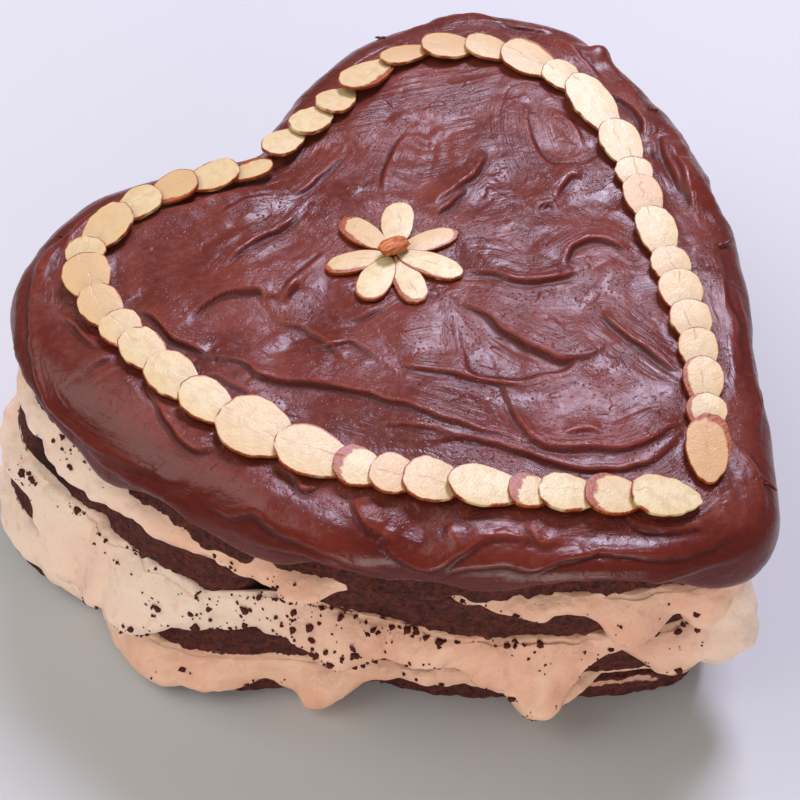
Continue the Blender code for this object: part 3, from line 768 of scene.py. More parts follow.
# Chunks missing: sponge, angle, half width, depth, level and half height
BITES = (
    (2, 150, 3.2, 9.0, 57, 8.0), (2, -171, 2.5, 6.0, 52, 6.0), (1, 150, 4.0, 4.0, 34, 8.0),
    (2, -152, 3.0, 2.5, 50, 3.0), (2, -112, 3.0, 3.0, 48, 3.0), (2, -90, 3.0, 2.5, 47, 2.5),
    (0, -154, 4.0, 3.0, 4, 4.0), (1, -60, 4.0, 3.0, 22, 3.0), (2, 60, 4.0, 3.0, 64, 4.0),
)
# Loose sponge that hangs over the cream below: sponge, angle, half width, how far down and out
CRUMBLED = (
    (2, -111, 5, 6.5, 3.6), (2, -101, 3, 3.0, 3.0), (2, -136, 4, 2.5, 2.6), (3, -118, 8, 3.0, 2.2),
    (3, -143, 16, 3.4, 2.4), (3, -168, 14, 3.4, 2.4),
)
# Cream smeared on a sponge's side: sponge, angle, half width, level and half height
SMEARS = (
    (1, -140, 9, 21.5, 1.2), (0, -120, 12, 11.0, 1.2), (0, -98, 5, 9.0, 1.6), (2, 150, 3, 62, 3.0),
    (1, 60, 12, 24, 2.0), (2, 0, 10, 49, 2.0), (0, 20, 14, 9, 2.0), (1, -30, 9, 36, 2.0),
)


# %% The sponges' shape
def of_layer(table, number):
    """The table's rows for this layer, without the layer's number."""
    return [row[1:] for row in table if row[0] == number]


def sponge_rings(number, edge):
    """Rings up the side; each is set back by bell-shaped bites and the folded lumps."""
    bottom, top = SPONGE_LEVELS[number]
    levels = np.linspace(bottom, top, SPONGE_ROWS)
    base = np.array([edge.ring(edge.wall(level), level) for level in levels])
    lost = mixed_lumps(base, TORN_LUMPS, number, folded=True)
    torn = np.zeros(lost.shape)
    for angle, width, depth, middle, half_height in of_layer(BITES, number):
        bite = depth * edge.hump(angle, width)[None] * bell(levels - middle, half_height)[:, None]
        torn = np.maximum(torn, bite)
    end = np.minimum(levels - bottom, top - levels)[:, None]
    rounding = CUT_ROUNDING * np.clip(1 - end / CUT_HEIGHT, 0, 1) ** 2
    set_back = lost * np.clip(0.45 + end / 4, 0, 1) + torn + rounding
    for angle, width, down, out in of_layer(CRUMBLED, number):
        low = np.clip(1 - (levels - bottom) / LOOSE_HEIGHT, 0, 1)[:, None] ** 1.5
        loose = edge.hump(angle, width)[None] * low
        loose *= 0.85 + 0.35 * lumps(base, 5.0, 75)
        base[..., 2] -= down * loose
        set_back -= out * loose
    base[..., :2] -= edge.out[None] * set_back[..., None]
    return base, torn


def smear_values(number, edge, rings):
    """How much cream is smeared at each point: bells round each smear, broken up by lumps."""
    smear = np.zeros(rings.shape[:2])
    for angle, width, level, half_height in of_layer(SMEARS, number):
        across = edge.hump(angle, width)[None]
        smear = np.maximum(smear, across * bell(rings[..., 2] - level, half_height))
    return np.clip(smear * (1.3 + lumps(rings, 3.0, 71)), 0, 1)


# %% Lay the sponges
layer_edge = Edge(np.linspace(0, len(HEART), STATIONS, endpoint=False))
sponges = []
for number in range(len(SPONGE_LEVELS)):
    rings, torn = sponge_rings(number, layer_edge)
    name = f"sponge_{number + 1}"
    piece = keep_layer(f"{name}_crumb", rings, [name])
    keep_value(piece, "smear", np.append(smear_values(number, layer_edge, rings).ravel(), [0, 0]))
    # How deep each bite is, for the painted shade in it
    keep_value(piece, "torn", np.append((torn / DEEP_TEAR).ravel(), [0, 0]))
    sponges.append(piece)

# %% [markdown]
# ## Creams
#
# Each cream fills the space between two sponges and has squeezed out and sagged. Its edge is
# a few rings worked out from its lobes, joined by a smooth curve up each station, and then made
# soft and uneven by lumps. Metaballs or a fluid simulation could sag too, but would not put each
# lobe where it belongs.

# %% The creams' sizes
# From the bottom up: usual lowest level, swell, and lobes as angle, half width, level and swell
CREAMS = (
    (12.5, 1.6, (
        (-163, 4, 0.6, 7.0), (166, 10, 2.0, 2.0), (177, 6, 5.0, 2.5), (-121, 4, 3.0, 3.0),
        (-70, 9, 6.0, 3.0), (-30, 8, 7.0, 3.0), (8, 10, 3.0, 4.0), (50, 9, 5.0, 3.5),
        (85, 8, 8.0, 3.0), (112, 10, 4.0, 3.5),
    )),
    (38.5, 2.0, (
        (160, 5, 21.0, 7.5), (168, 4.5, 26.0, 6.0), (175, 4, 35.0, 4.5), (-158, 4, 31.0, 5.0),
        (-143, 5, 32.0, 4.0), (-133, 4, 25.0, 4.5), (-125, 4, 13.0, 5.5), (-103, 4, 27.0, 4.0),
        (-94, 5, 25.0, 6.5), (-60, 9, 28.0, 5.0), (-25, 9, 24.0, 5.5), (15, 8, 29.0, 4.5),
        (48, 10, 22.0, 6.0), (92, 8, 27.0, 5.0), (120, 9, 25.0, 5.5),
    )),
    (66.0, 0.8, (
        (158, 5, 63.5, 2.5), (-164, 4, 62.5, 5.5), (-129, 5, 65.0, 2.0), (-111.5, 3.4, 51.0, 5.0),
        (-102, 2.4, 55.0, 3.5), (-72, 8, 56.0, 4.5), (-38, 7, 60.0, 3.5), (0, 9, 54.0, 5.0),
        (38, 8, 59.0, 4.0), (73, 8, 58.0, 4.0), (118, 9, 57.0, 4.5),
    )),
)
# Where the middle cream is pressed up over the sponge above it: angle, half width and height
PRESSED_UP = ((-94, 6, 16.0), (-168, 9, 9.0), (174, 7, 6.0))
# Where a cream is squeezed back between its sponges: cream, angle, half width and strength
PINCHES = ((2, -149, 7, 1.6), (0, -106, 7, 1.6))
PINCH_DEPTH = 3.0
CREAM_CLEARANCE = 0.6
CREAM_LIP = 0.5
# Rings up a cream's edge, each as share of its swell, of its height and of its push outwards
CREAM_SIDE = ((0.45, 0.0, 1.0), (0.95, 0.22, 1.0), (1.0, 0.45, 0.5), (0.62, 0.8, 0.15), (0.12, 1.0, 0.0))
CREAM_THINNEST = 0.6
LOWEST_CREAM = 0.5
# How far a cream stands outside the swell of the one below where it hangs over it
OVERHANG = 2.0
SAG_WAVES = (0.8, 9)
SWELL_WAVES = (0.4, 11)
CREAM_STEPS = 6
# How thick the hanging edge is, and how much broader than a bell a lobe is
HANGING_EDGE = 2.0
BROADNESS = 1.6
# How the upper lip turns in and up under the sponge: each ring's way out, and down from the lip
UPPER_LIP = ((-0.3, -0.5), (-1.5, -1.5))
# Where a cream is whitest, by cream, angle and half width
PALE = ((1, 176, 14), (1, 150, 10), (2, 155, 12), (1, -90, 9), (0, 150, 12))
# Lumps of the creams, as height, size and seed
SOFT_LUMPS = ((1.2, 12, 81), (0.75, 5.5, 84), (0.28, 2.4, 87))


# %% The creams' shape
def swell_of(number, edge):
    """How thick this cream stands outside the sponges at each station."""
    _, swell, lobes = CREAMS[number]
    return swell + edge.waves(SWELL_WAVES) + edge.humps(lobes, 3)


def cream_rings(number, edge):
    """The rings of a cream's edge, and a smooth curve through them at each station."""
    bottom = SPONGE_LEVELS[number][1] + GAP
    top = SPONGE_LEVELS[number + 1][0] - GAP
    usual, _, lobes = CREAMS[number]
    swell = swell_of(number, edge)
    hanging = np.zeros(len(edge.place))
    for angle, width, lowest, _ in lobes:
        lobe = (1 - (1 - edge.hump(angle, width)) ** BROADNESS) * (usual - lowest)
        hanging = np.where(np.abs(lobe) > np.abs(hanging), lobe, hanging)
    shown = 1 - edge.humps(of_layer(PINCHES, number), 2)
    over = np.clip(2 * shown - 1, 0, 1)
    back = np.clip(1 - 2 * shown, 0, 1) * PINCH_DEPTH
    low = np.maximum(usual + edge.waves(SAG_WAVES) - hanging, LOWEST_CREAM)
    low = bottom + (np.minimum(low, bottom) - bottom) * over
    high = top + CREAM_LIP * over
    pushed = np.zeros(len(edge.place))
    if number == 1:
        high += edge.humps(PRESSED_UP, 2)
    if number > 0:
        reach = np.clip((bottom - low) / (bottom - SPONGE_LEVELS[number - 1][1]), 0, 1)
        pushed = reach * (swell_of(number - 1, edge) + OVERHANG)

    def outside(level, out=0.0):
        """A ring at this level, this far outside the cream's clearance from the sponges."""
        return edge.ring(edge.wall(level) + CREAM_CLEARANCE - back + out, level)

    rings = [
        edge.ring(edge.wall(bottom) - SHOULDER, bottom),
        outside(bottom),
        outside(np.minimum(low + HANGING_EDGE, np.maximum(bottom, low + CREAM_THINNEST)), pushed),
    ]
    for swollen, height, push in CREAM_SIDE:
        rings.append(outside(low + height * (high - low), swollen * swell + push * pushed))
    for out, drop in UPPER_LIP:
        rings.append(outside(high - drop, out))
    rings.append(edge.ring(edge.wall(top) - SHOULDER, top))
    fine = through(rings[2:-1], closed=False, steps=CREAM_STEPS)
    return np.concatenate([rings[:2], fine, rings[-1:]])


# %% Lay the creams
creams, cream_shapes = [], []
for number in range(len(CREAMS)):
    rings = cream_rings(number, layer_edge)
    soft = mixed_lumps(rings, SOFT_LUMPS, number)
    soft[[0, 1, -2, -1]] = 0
    rings[..., :2] += layer_edge.out[None] * soft[..., None]
    name = f"cream_{number + 1}"
    piece = keep_layer(f"{name}_whipped", rings, [name])
    pale = layer_edge.humps([(*row, 1) for row in of_layer(PALE, number)], 2)
    keep_value(piece, "pale", np.append(np.tile(pale, len(rings)), [0, 0]))
    creams.append(piece)
    cream_shapes.append(rings)

# %% [markdown]
# ## Crumbs
#
# Cutting and stacking shed dark crumbs, which stick to the creams. Each is a small lumpy ball of
# a few dozen faces. Geometry Nodes could scatter them, but arrays put them straight on the
# points of the creams' rings, thickest where the stack has slumped.

# %% The crumbs' sizes
# Where crumbs stick: cream, angle, half width and how many
CRUMB_PATCHES = (
    (1, 163, 9, 60), (1, 176, 7, 60), (1, -170, 8, 80), (1, -155, 10, 120), (1, -133, 8, 70),
    (1, -112, 10, 36), (0, -160, 8, 16), (0, -140, 12, 20), (0, -110, 12, 16), (2, -165, 8, 36),
    (2, -145, 7, 36), (2, -110, 12, 10), (2, 155, 5, 18), (1, 60, 50, 90), (0, 60, 60, 50),
    (2, 60, 60, 60), (1, -40, 30, 50), (0, -40, 30, 30), (2, -40, 30, 20),
)
CRUMB_SIZES = (0.22, 1.1)
# A crumb's stretch along each axis, how lumpy it is, and how far out its middle lies
CRUMB_STRETCH = (0.5, 1.5)
CRUMB_LUMPS = 0.42
CRUMB_OUT = 0.15
# Crumbs in a cluster, and how far they stray from its middle, in stations and in rings
CLUSTER = 5
STRAY = ((6.0,), (2.5,))
CRUMB_ROWS = 4
CRUMB_SIDES = 7


# %% The crumbs' places and shape
def crumb_places(chance):
    """Places and outward vectors: crumbs in small clusters, each round a random ring's point."""
    places, outs = [], []
    for cream, angle, width, how_many in CRUMB_PATCHES:
        rings = cream_shapes[cream]
        weight = layer_edge.hump(angle, width)
        stations = chance.choice(STATIONS, 1 + how_many // CLUSTER, p=weight / weight.sum())
        rows = chance.integers(CREAM_STEPS, len(rings) - 4, len(stations))
        stray = chance.normal(0, 1, (2, how_many)) * STRAY
        stations = (np.resize(stations, how_many) + stray[0].astype(int)) % STATIONS
        rows = np.clip(np.resize(rows, how_many) + stray[1].astype(int), CREAM_STEPS, len(rings) - 4)
        places.append(rings[rows, stations])
        outs.append(layer_edge.out[stations])
    return np.vstack(places), np.vstack(outs)


def ball(rows, sides):
    """A unit ball's points and faces: rings of latitude, and a pole at each end."""
    tilt = np.linspace(-np.pi / 2, np.pi / 2, rows + 2)[1:-1, None]
    turn = np.linspace(0, 2 * np.pi, sides, endpoint=False)[None]
    x, y = np.cos(tilt) * np.cos(turn), np.cos(tilt) * np.sin(turn)
    rings = np.stack([x, y, np.broadcast_to(np.sin(tilt), x.shape)], -1).reshape(-1, 3)
    return np.vstack([rings, [[0, 0, -1], [0, 0, 1]]]), capped_rings(rows, sides)


# %% Scatter the crumbs
chance = np.random.default_rng(5)
places, outs = crumb_places(chance)
unit, unit_faces = ball(CRUMB_ROWS, CRUMB_SIDES)
sizes = CRUMB_SIZES[0] + (CRUMB_SIZES[1] - CRUMB_SIZES[0]) * chance.random(len(places)) ** 3
shapes = unit[None] * chance.uniform(*CRUMB_STRETCH, (len(places), 1, 3))
shapes = shapes * (1 + CRUMB_LUMPS * lumps(unit[None] * 2 + places[:, None] * 3, 0.9, 6)[..., None])
crumbs = places[:, None] + shapes * sizes[:, None, None]
crumbs[..., :2] += outs[:, None] * CRUMB_OUT
starts = np.arange(len(places)) * len(unit)
crumb_faces = []
for face in unit_faces:
    crumb_faces += (starts[:, None] + np.array(face)[None]).tolist()
crumb_piece = keep_piece("crumbs", crumbs.reshape(-1, 3), crumb_faces, [])

# %% [markdown]
# ## Sliced almonds
#
# An almond cut lengthways gives an oval slice, more pointed at one end, a millimetre thick, with
# a thread of brown skin round its rim. The solids already lie where each slice lies, so each new
# slice takes its middle, tilt and size from its solid, and its heading from its neighbours. It
# adds the uneven outline, the rounded rim and the skin, which is wide where the cut ran aslant.

# %% Reading a slice's place from its solid
def solid_points(name):
    """The solid's corners, in millimetres and in this script's own frame."""
    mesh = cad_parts[name].data
    flat = np.empty(len(mesh.vertices) * 3)
    mesh.vertices.foreach_get("co", flat)
    return flat.reshape(-1, 3) / MM + MIDDLE


def slab_of(name, ahead):
    """Middle, axes and size of a flat solid: its normal is the direction of least spread."""
    corners = solid_points(name)
    middle = (corners.max(axis=0) + corners.min(axis=0)) / 2
    up = np.linalg.svd(corners - middle, full_matrices=False)[2][2]
    up = up * np.sign(up[2])
    long = ahead - (ahead @ up) * up
    long /= np.linalg.norm(long)
    axes = np.array([long, np.cross(up, long), up])
    reach = (corners - middle) @ axes.T
    middle = middle + (reach.max(axis=0) + reach.min(axis=0)) / 2 @ axes
    return middle, axes, reach.max(axis=0) - reach.min(axis=0)


border = [f"almond_{n:02d}" for n in range(1, 44)]
petals = [f"petal_{n}" for n in range(1, 8)]
LEFT_COUNT = 22
# Each petal runs this much further in than its solid, and every other one lies this much higher
PETAL_ROOT = 2.6
PETAL_LIFT = 0.35
spots = np.array([(solid_points(n).max(axis=0) + solid_points(n).min(axis=0)) / 2 for n in border])


def headings(points):
    """Each point's way ahead: from the point before it to the point after it."""
    spread = np.vstack([2 * points[:1] - points[1:2], points, 2 * points[-1:] - points[-2:-1]])
    run = (spread[2:] - spread[:-2]) * [1, 1, 0]
    return run / np.linalg.norm(run, axis=1)[:, None]


aheads = np.vstack([headings(spots[:LEFT_COUNT]), headings(spots[LEFT_COUNT:])])
slabs = {name: slab_of(name, ahead) for name, ahead in zip(border, aheads)}
for name in petals:
    inwards = np.append(FLOWER, 0) - solid_points(name).mean(axis=0)
    middle, axes, size = slab_of(name, inwards * [1, 1, 0])
    shift = axes[0] * PETAL_ROOT / 2 + axes[2] * PETAL_LIFT * (int(name[-1]) % 2)
    slabs[name] = middle + shift, axes, size + np.array([PETAL_ROOT, 0, 0])
print("slices:", len(slabs), "longest:", round(max(s[2][0] for s in slabs.values()), 1), "mm")

# %% The shape of one slice
SLICE_SIDES = 56
# How pointed a slice is, how high the waves of its rim are, and how much it curls
POINTED = (0.12, 0.3)
RIM_WAVES = (2, 3, 5, 8, 13)
WAVE_HEIGHTS = (0.004, 0.014)
CURLS = (-0.25, 0.35)
# How far a face domes, and how wide the thread of skin is and how softly it ends
FACE_DOME = 0.22
THREAD = 0.26
SKIN_SOFTNESS = 0.35
# Rows of points from the middle of a face to its rim, as shares of the way
FACE_ROWS = np.array([0.18, 0.36, 0.54, 0.7, 0.82, 0.9, 0.945, 0.97, 0.99])
# Slices whose cut ran aslant: width of the skin, and the direction of it from the heading
WIDE_SKIN = {
    "almond_43": (2.0, 150), "almond_26": (1.6, -70), "almond_15": (2.4, 170), "almond_19": (2.8, 165),
    "almond_21": (2.2, 170), "almond_01": (1.0, -90), "almond_03": (0.9, 60), "almond_30": (0.7, 100),
    "petal_7": (1.8, -145), "petal_6": (1.2, -135), "petal_4": (1.3, 135), "petal_2": (0.9, 150),
    "petal_3": (0.6, 90), "petal_5": (0.3, 180), "almond_41": (1.2, -90), "almond_42": (0.9, -90),
}
# How golden a slice is, from 0 for pale to 1 for tan, where it stands out
TONES = {
    "almond_43": 1.0, "almond_35": 0.8, "almond_28": 0.75, "almond_27": 0.8, "almond_16": 0.6,
    "almond_13": 0.35, "almond_14": 0.3, "almond_03": 0.7, "almond_22": 0.0, "almond_20": 0.05,
    "almond_18": 0.0, "almond_07": 0.7, "almond_08": 0.65, "almond_05": 0.5, "almond_29": 0.55,
    "almond_30": 0.5, "petal_7": 0.65, "petal_2": 0.55, "petal_6": 0.4, "petal_1": 0.1,
    "petal_3": 0.0, "petal_4": 0.1, "petal_5": 0.0,
}


def slice_shape(name, chance):
    """One slice's points, and at each point its skin, its tone and its place across the slice.

    Round the rim at angle t the outline is half the length times cos t, and half the width times
    sin t times 1 less a share of cos t, which points one end. Waves of chance phase roughen it.
    Faces dome as 1 less the squared share of the way to the rim, and the rim is a half circle.
    """
    middle, axes, (length, width, thick) = slabs[name]
    t = np.linspace(0, 2 * np.pi, SLICE_SIDES, endpoint=False)
    point = chance.uniform(*POINTED)
    rough = sum(
        chance.uniform(*WAVE_HEIGHTS) * np.sin(n * t + chance.uniform(0, 6.3)) for n in RIM_WAVES
    )
    x = np.cos(t) * length / 2 * (1 + rough)
    y = np.sin(t) * width / 2 * (1 - point * np.cos(t)) * (1 + rough)
    half = thick / 2
    bulge = np.array([0.35, 0.75, 1.0, 0.75, 0.35])
    wall = np.array([0.9, 0.45, 0.0, -0.45, -0.9]) * half
    shares = np.concatenate([FACE_ROWS, 1 + 0.012 * bulge, FACE_ROWS[::-1]])
    dome = FACE_DOME * (1 - FACE_ROWS**2)
    lifts = np.concatenate([half + dome - 0.04, wall, -(half + 0.3 * dome - 0.04)[::-1]])
    curl = chance.uniform(*CURLS)
    grid_x, grid_y = shares[:, None] * x, shares[:, None] * y
    grid_z = np.broadcast_to(lifts[:, None], grid_x.shape) + curl * (grid_x / length * 2) ** 2
    local = np.stack([grid_x, grid_y, grid_z], -1).reshape(-1, 3)
    local = np.vstack([local, [[0, 0, half + 0.18], [0, 0, -half - 0.02]]])
    wide, way = WIDE_SKIN.get(name, (0.0, chance.uniform(-180, 180)))
    facing = np.clip(np.cos(t - math.radians(way)), 0, 1) ** 1.5
    band = THREAD + wide * facing * (1 + 2 * rough) + 0.25 * chance.random() * facing
    inwards = (1 - shares[:, None]) * np.hypot(x, y)[None]
    skin = ease((band[None] - inwards) / SKIN_SOFTNESS + 0.5)
    broken = lumps(np.stack([*np.broadcast_arrays(grid_x, grid_y, grid_z)], -1) + middle, 2.2, 9)
    skin = skin * np.clip(0.75 + 0.7 * broken + wide, 0, 1)
    tone = TONES.get(name, chance.uniform(0.1, 0.45))
    values = {
        "skin": np.append(skin.ravel(), [0, 0]),
        "tone": np.full(len(local), tone),
        "across": local[:, 1],
    }
    return middle + local @ axes, values


# %% Join the slices
def join_slices(name, nodes, chance):
    """Several slices in one mesh, with faces from the upper face round the rim to the lower."""
    # Both faces and the rim's own five rings
    rows = len(FACE_ROWS) * 2 + 5
    per_slice = rows * SLICE_SIDES + 2
    quads = ring_faces(rows, SLICE_SIDES)[:, ::-1]
    upper = fan_faces(0, SLICE_SIDES, per_slice - 2, True)
    lower = fan_faces((rows - 1) * SLICE_SIDES, SLICE_SIDES, per_slice - 1, False)
    all_points, all_values, faces = [], [], []
    for number, node in enumerate(nodes):
        points, values = slice_shape(node, chance)
        all_points.append(points)
        all_values.append(values)
        for block in (quads, upper, lower):
            faces += (block + number * per_slice).tolist()
    piece = keep_piece(name, np.vstack(all_points), faces, nodes)
    for key in all_values[0]:
        keep_value(piece, key, np.concatenate([values[key] for values in all_values]))
    return piece


chance = np.random.default_rng(8)
almond_border = join_slices("almond_border", border, chance)
almond_flower = join_slices("almond_flower", petals, chance)

# %% [markdown]
# ## The flower's middle
#
# The flower is held by a broken bit of almond that still has its brown skin. It is a flattened
# ball with furrows along its length.

# %% The broken bit
NUB_ROWS = 22
NUB_SIDES = 48
middle, axes, size = slab_of("flower_middle", np.array([1.0, -0.1, 0.0]))
nub, nub_faces = ball(NUB_ROWS, NUB_SIDES)
furrow = 1 + 0.05 * np.sin(9 * np.arctan2(nub[:, 2], nub[:, 1])) + 0.06 * lumps(nub * 3, 1.0, 4)
blunt = np.sign(nub) * np.abs(nub) ** 0.85
nub_local = blunt * size / 2 * furrow[:, None] * [1.0, 1.0, 1.05]
nub_points = middle + nub_local @ axes
nub_piece = keep_piece("flower_middle_bit", nub_points, nub_faces, ["flower_middle"])

# %% [markdown]
# ## Finishes
#
# A material is written as sums on wires. A wire is one output socket, and adding or multiplying
# wires adds the Math nodes. Every other node comes from one method of the finish.

# %% Wires and finishes
class Wire:
    """A node's output that can stand in a sum."""

    def __init__(self, finish, socket):
        self.finish = finish
        self.socket = socket

    def __add__(self, other):
        return self.finish.maths("ADD", self, other)

    def __sub__(self, other):
        return self.finish.maths("SUBTRACT", self, other)

    def __rsub__(self, other):
        return self.finish.maths("SUBTRACT", other, self)

    def __mul__(self, other):
        return self.finish.maths("MULTIPLY", self, other)

    __radd__ = __add__
    __rmul__ = __mul__


class Finish:
    """One material. All its nodes come from one method, which is called node."""

    def __init__(self, name, **constants):
        self.material = bpy.data.materials.new(name)
        self.material.use_nodes = True
        self.tree = self.material.node_tree
        self.shader = self.tree.nodes["Principled BSDF"]
        for socket, value in constants.items():
            self.shader.inputs[socket.replace("_", " ")].default_value = value
        self.place = self.node("ShaderNodeTexCoord", out="Object")

    def node(self, kind, settings=None, sockets=None, out=0):
        """A node of this kind, its settings made first, then its sockets set or linked."""
        node = self.tree.nodes.new(kind)
        for key, value in (settings or {}).items():
            setattr(node, key, value)
        for key, value in (sockets or {}).items():
            self.feed(node.inputs[key], value)
        return Wire(self, node.outputs[out])

    def feed(self, socket, value):
        """Links a wire to a socket, or sets a number or colour on it."""
        if isinstance(value, Wire):
            self.tree.links.new(value.socket, socket)
        else:
            socket.default_value = value

    def maths(self, operation, *values):
        """A Math node on wires and numbers, such as FRACT, what is over a whole number."""
        return self.node("ShaderNodeMath", {"operation": operation}, dict(enumerate(values)))

    def noise(self, millimetres, detail=2.0, roughness=0.5, place=None, distortion=0.0):
        """Noise whose lumps are about this size, from 0 to 1."""
        sockets = {
            "Vector": place or self.place, "Scale": 1 / (millimetres * MM), "Detail": detail,
            "Roughness": roughness, "Distortion": distortion,
        }
        return self.node("ShaderNodeTexNoise", None, sockets, "Fac")

    def cells(self, millimetres):
        """Distance to the nearest of scattered points this far apart, from 0 to about 1."""
        sockets = {"Vector": self.place, "Scale": 1 / (millimetres * MM)}
        return self.node("ShaderNodeTexVoronoi", {"feature": "F1"}, sockets, "Distance")

    def stretched(self, turn, scales):
        """Places turned about +Z by some degrees and then scaled along each axis."""
        sockets = {"Vector": self.place, "Rotation": (0, 0, math.radians(turn)), "Scale": scales}
        return self.node("ShaderNodeMapping", {"vector_type": "POINT"}, sockets)

    def value(self, name):
        """A number kept at the mesh's points."""
        return self.node("ShaderNodeAttribute", {"attribute_name": name}, out="Fac")

    def between(self, value, low, high):
        """0 below low, 1 above high, and a smooth step between."""
        sockets = {"Value": value, "From Min": low, "From Max": high}
        return self.node("ShaderNodeMapRange", {"interpolation_type": "SMOOTHSTEP"}, sockets)

    def blend(self, share, first, second):
        """A colour between two, by a share."""
        sockets = {0: share, 6: first, 7: second}
        return self.node("ShaderNodeMix", {"data_type": "RGBA"}, sockets, 2)

    def glaze(self, colour, *coats):
        """A colour with coats laid over it in turn, each as its share and its tint."""
        for share, shade in coats:
            colour = self.blend(share, colour, tint(*shade))
        return colour

    def bump(self, height, millimetres, strength=1.0, under=None):
        """A normal bent by a height from 0 to 1 that stands for this many millimetres."""
        sockets = {"Height": height, "Distance": millimetres * MM, "Strength": strength}
        if under:
            sockets["Normal"] = under
        return self.node("ShaderNodeBump", None, sockets)

    def finish(self, pieces, **links):
        """Feeds the shader and lays the material on the pieces."""
        for socket, value in links.items():
            self.feed(self.shader.inputs[socket.replace("_", " ")], value)
        for piece in pieces:
            piece.data.materials.clear()
            piece.data.materials.append(self.material)


def tint(red, green, blue):
    """A colour as seen on a screen, from 0 to 255, as the shader's own numbers."""
    shares = np.array([red, green, blue]) / 255
    return (*np.where(shares < 0.04, shares / 12.92, ((shares + 0.055) / 1.055) ** 2.4), 1.0)


# %% [markdown]
# ## Ganache finish
#
# Set ganache is half glossy: smooth where the knife pressed and finely pitted where it dragged.
# The grooves and the side are painted darker and redder, as shade, and the high lips and a thin
# line along each lip lighter and redder, as painted highlights. Noise that is drawn out along each
# point's stroke gives the scratches of the knife's edge, and a slope that drops back at every whole
# number gives the small steps where it lifted, each with a thin line of painted shade at its drop.

# %% Ganache: strokes and steps
paint = Finish("ganache", Coat_Roughness=0.24, Coat_IOR=1.45, IOR=1.34)
names = ("groove", "lip", "side", "rough", "stroke_across", "calm", "facet")
groove, lip, side, rough_patch, across, calm, facet = (paint.value(name) for name in names)
broad, fine = paint.noise(22, 3), paint.noise(2.2, 4, 0.6)
# The noise is ten times as long along the strokes as across them, because its places are drawn
# together by this much
DRAWN_OUT = 0.1
strokes = {0: across * MM, 1: paint.value("stroke_along") * (MM * DRAWN_OUT)}
strokes = paint.node("ShaderNodeCombineXYZ", None, strokes)
comb = (paint.noise(0.9, 4, 0.6, strokes) - 0.5) * calm
furrows = (paint.noise(3.2, 2, 0.5, strokes) - 0.5) * calm
dragged = paint.between(paint.noise(14, 2), 0.36, 0.58) * (1 - side * 0.7)
spread = paint.noise(17, 1.5, 0.45, paint.stretched(38, (0.3, 1.0, 1.0)), 0.3)
steps = paint.maths("FRACT", spread * 7.0)
where = paint.between(paint.noise(9, 2), 0.52, 0.68) * 0.8 + rough_patch * 0.8
lifted = paint.between(where, 0.2, 1.0)
# A thin line of painted shade where each small step drops back
crease = paint.between(steps, 0.9, 0.99) * lifted
# A thin painted highlight along the lip of the strongest facet
edge = (1 - paint.between(across, 0.1, 0.7)) * paint.between(facet, 0.3, 0.8)

# %% Ganache: colour, gloss and bump
colour = paint.glaze(
    paint.blend(paint.between(broad, 0.35, 0.65), tint(92, 35, 26), tint(110, 47, 36)),
    (paint.between(fine, 0.45, 0.75) * 0.3, (138, 70, 56)),
    (paint.between(comb, 0.06, 0.22) * dragged * 0.3, (74, 22, 15)),
    # Painted shade: the side and the skirt darker and redder than the top
    (side * 0.75, (80, 17, 9)),
    # Painted shade in the grooves
    (paint.between(groove, 0.1, 0.9) * 0.8, (66, 13, 7)),
    # Painted shade at the steps' drops
    (crease * 0.25, (70, 15, 9)),
    # Painted highlight on the high lips
    (paint.between(lip, 0.8, 1.8) * 0.3, (120, 42, 28)),
    # Painted highlight along each lip line
    (edge * 0.35, (150, 62, 46)),
)
gloss = 0.32 + (fine - 0.5) * 0.3 + (broad - 0.5) * 0.25 + groove * 0.1 - side * 0.06
pits = paint.between(paint.cells(1.5), 0.0, 0.35)
height = comb * (dragged * 0.5 + 0.1) + furrows * 0.8 + fine * 0.25 + pits * 0.2 * dragged
lips = paint.bump(steps * lifted, 0.45, 0.6)
paint.finish(
    [ganache, tips], Base_Color=colour, Roughness=gloss,
    Coat_Weight=side * 0.08 * (1 - paint.between(groove, 0.1, 0.8)),
    Normal=paint.bump(height, 0.7, 0.9, lips),
)

# %% [markdown]
# ## Sponge finish
#
# Chocolate sponge is an open crumb: pores painted dark, as shade, between paler walls, and the
# torn places painted darker still, as shade in their hollows. Smeared cream shows as pinkish streaks.

# %% Sponge and crumbs
paint = Finish("sponge", IOR=1.4)
smear, torn = paint.value("smear"), paint.value("torn")
crumb, grain = paint.noise(2.4, 5, 0.65), paint.noise(0.8, 3, 0.6)
pores = paint.between(paint.cells(1.3), 0.05, 0.45)
colour = paint.glaze(
    paint.blend(paint.between(crumb, 0.35, 0.7), tint(58, 19, 13), tint(98, 39, 27)),
    (paint.between(grain, 0.62, 0.78) * 0.4, (132, 66, 48)),
    # Painted shade in the pores
    ((1 - pores) * 0.7, (34, 12, 12)),
    # Painted shade in the bites, darkest where they are deepest
    (paint.between(torn, 0.1, 0.8), (26, 8, 8)),
    (paint.between(smear, 0.35, 0.7) * 0.8, (226, 170, 146)),
)
height = crumb * 0.6 + pores * 0.5 + grain * 0.3
paint.finish(
    sponges, Base_Color=colour, Roughness=0.85 + (grain - 0.5) * 0.2,
    Normal=paint.bump(height, 0.9, 0.9),
)

paint = Finish("crumb", IOR=1.4)
grain = paint.noise(0.7, 4, 0.6)
colour = paint.blend(grain, tint(52, 14, 12), tint(104, 36, 26))
paint.finish([crumb_piece], Base_Color=colour, Roughness=0.75 + grain * 0.2, Normal=paint.bump(grain, 0.4))

# %% [markdown]
# ## Cream finish
#
# Whipped cream stained by cherry juice: peach pink, whiter in some stretches, and full of tiny
# holes that soften its sheen.

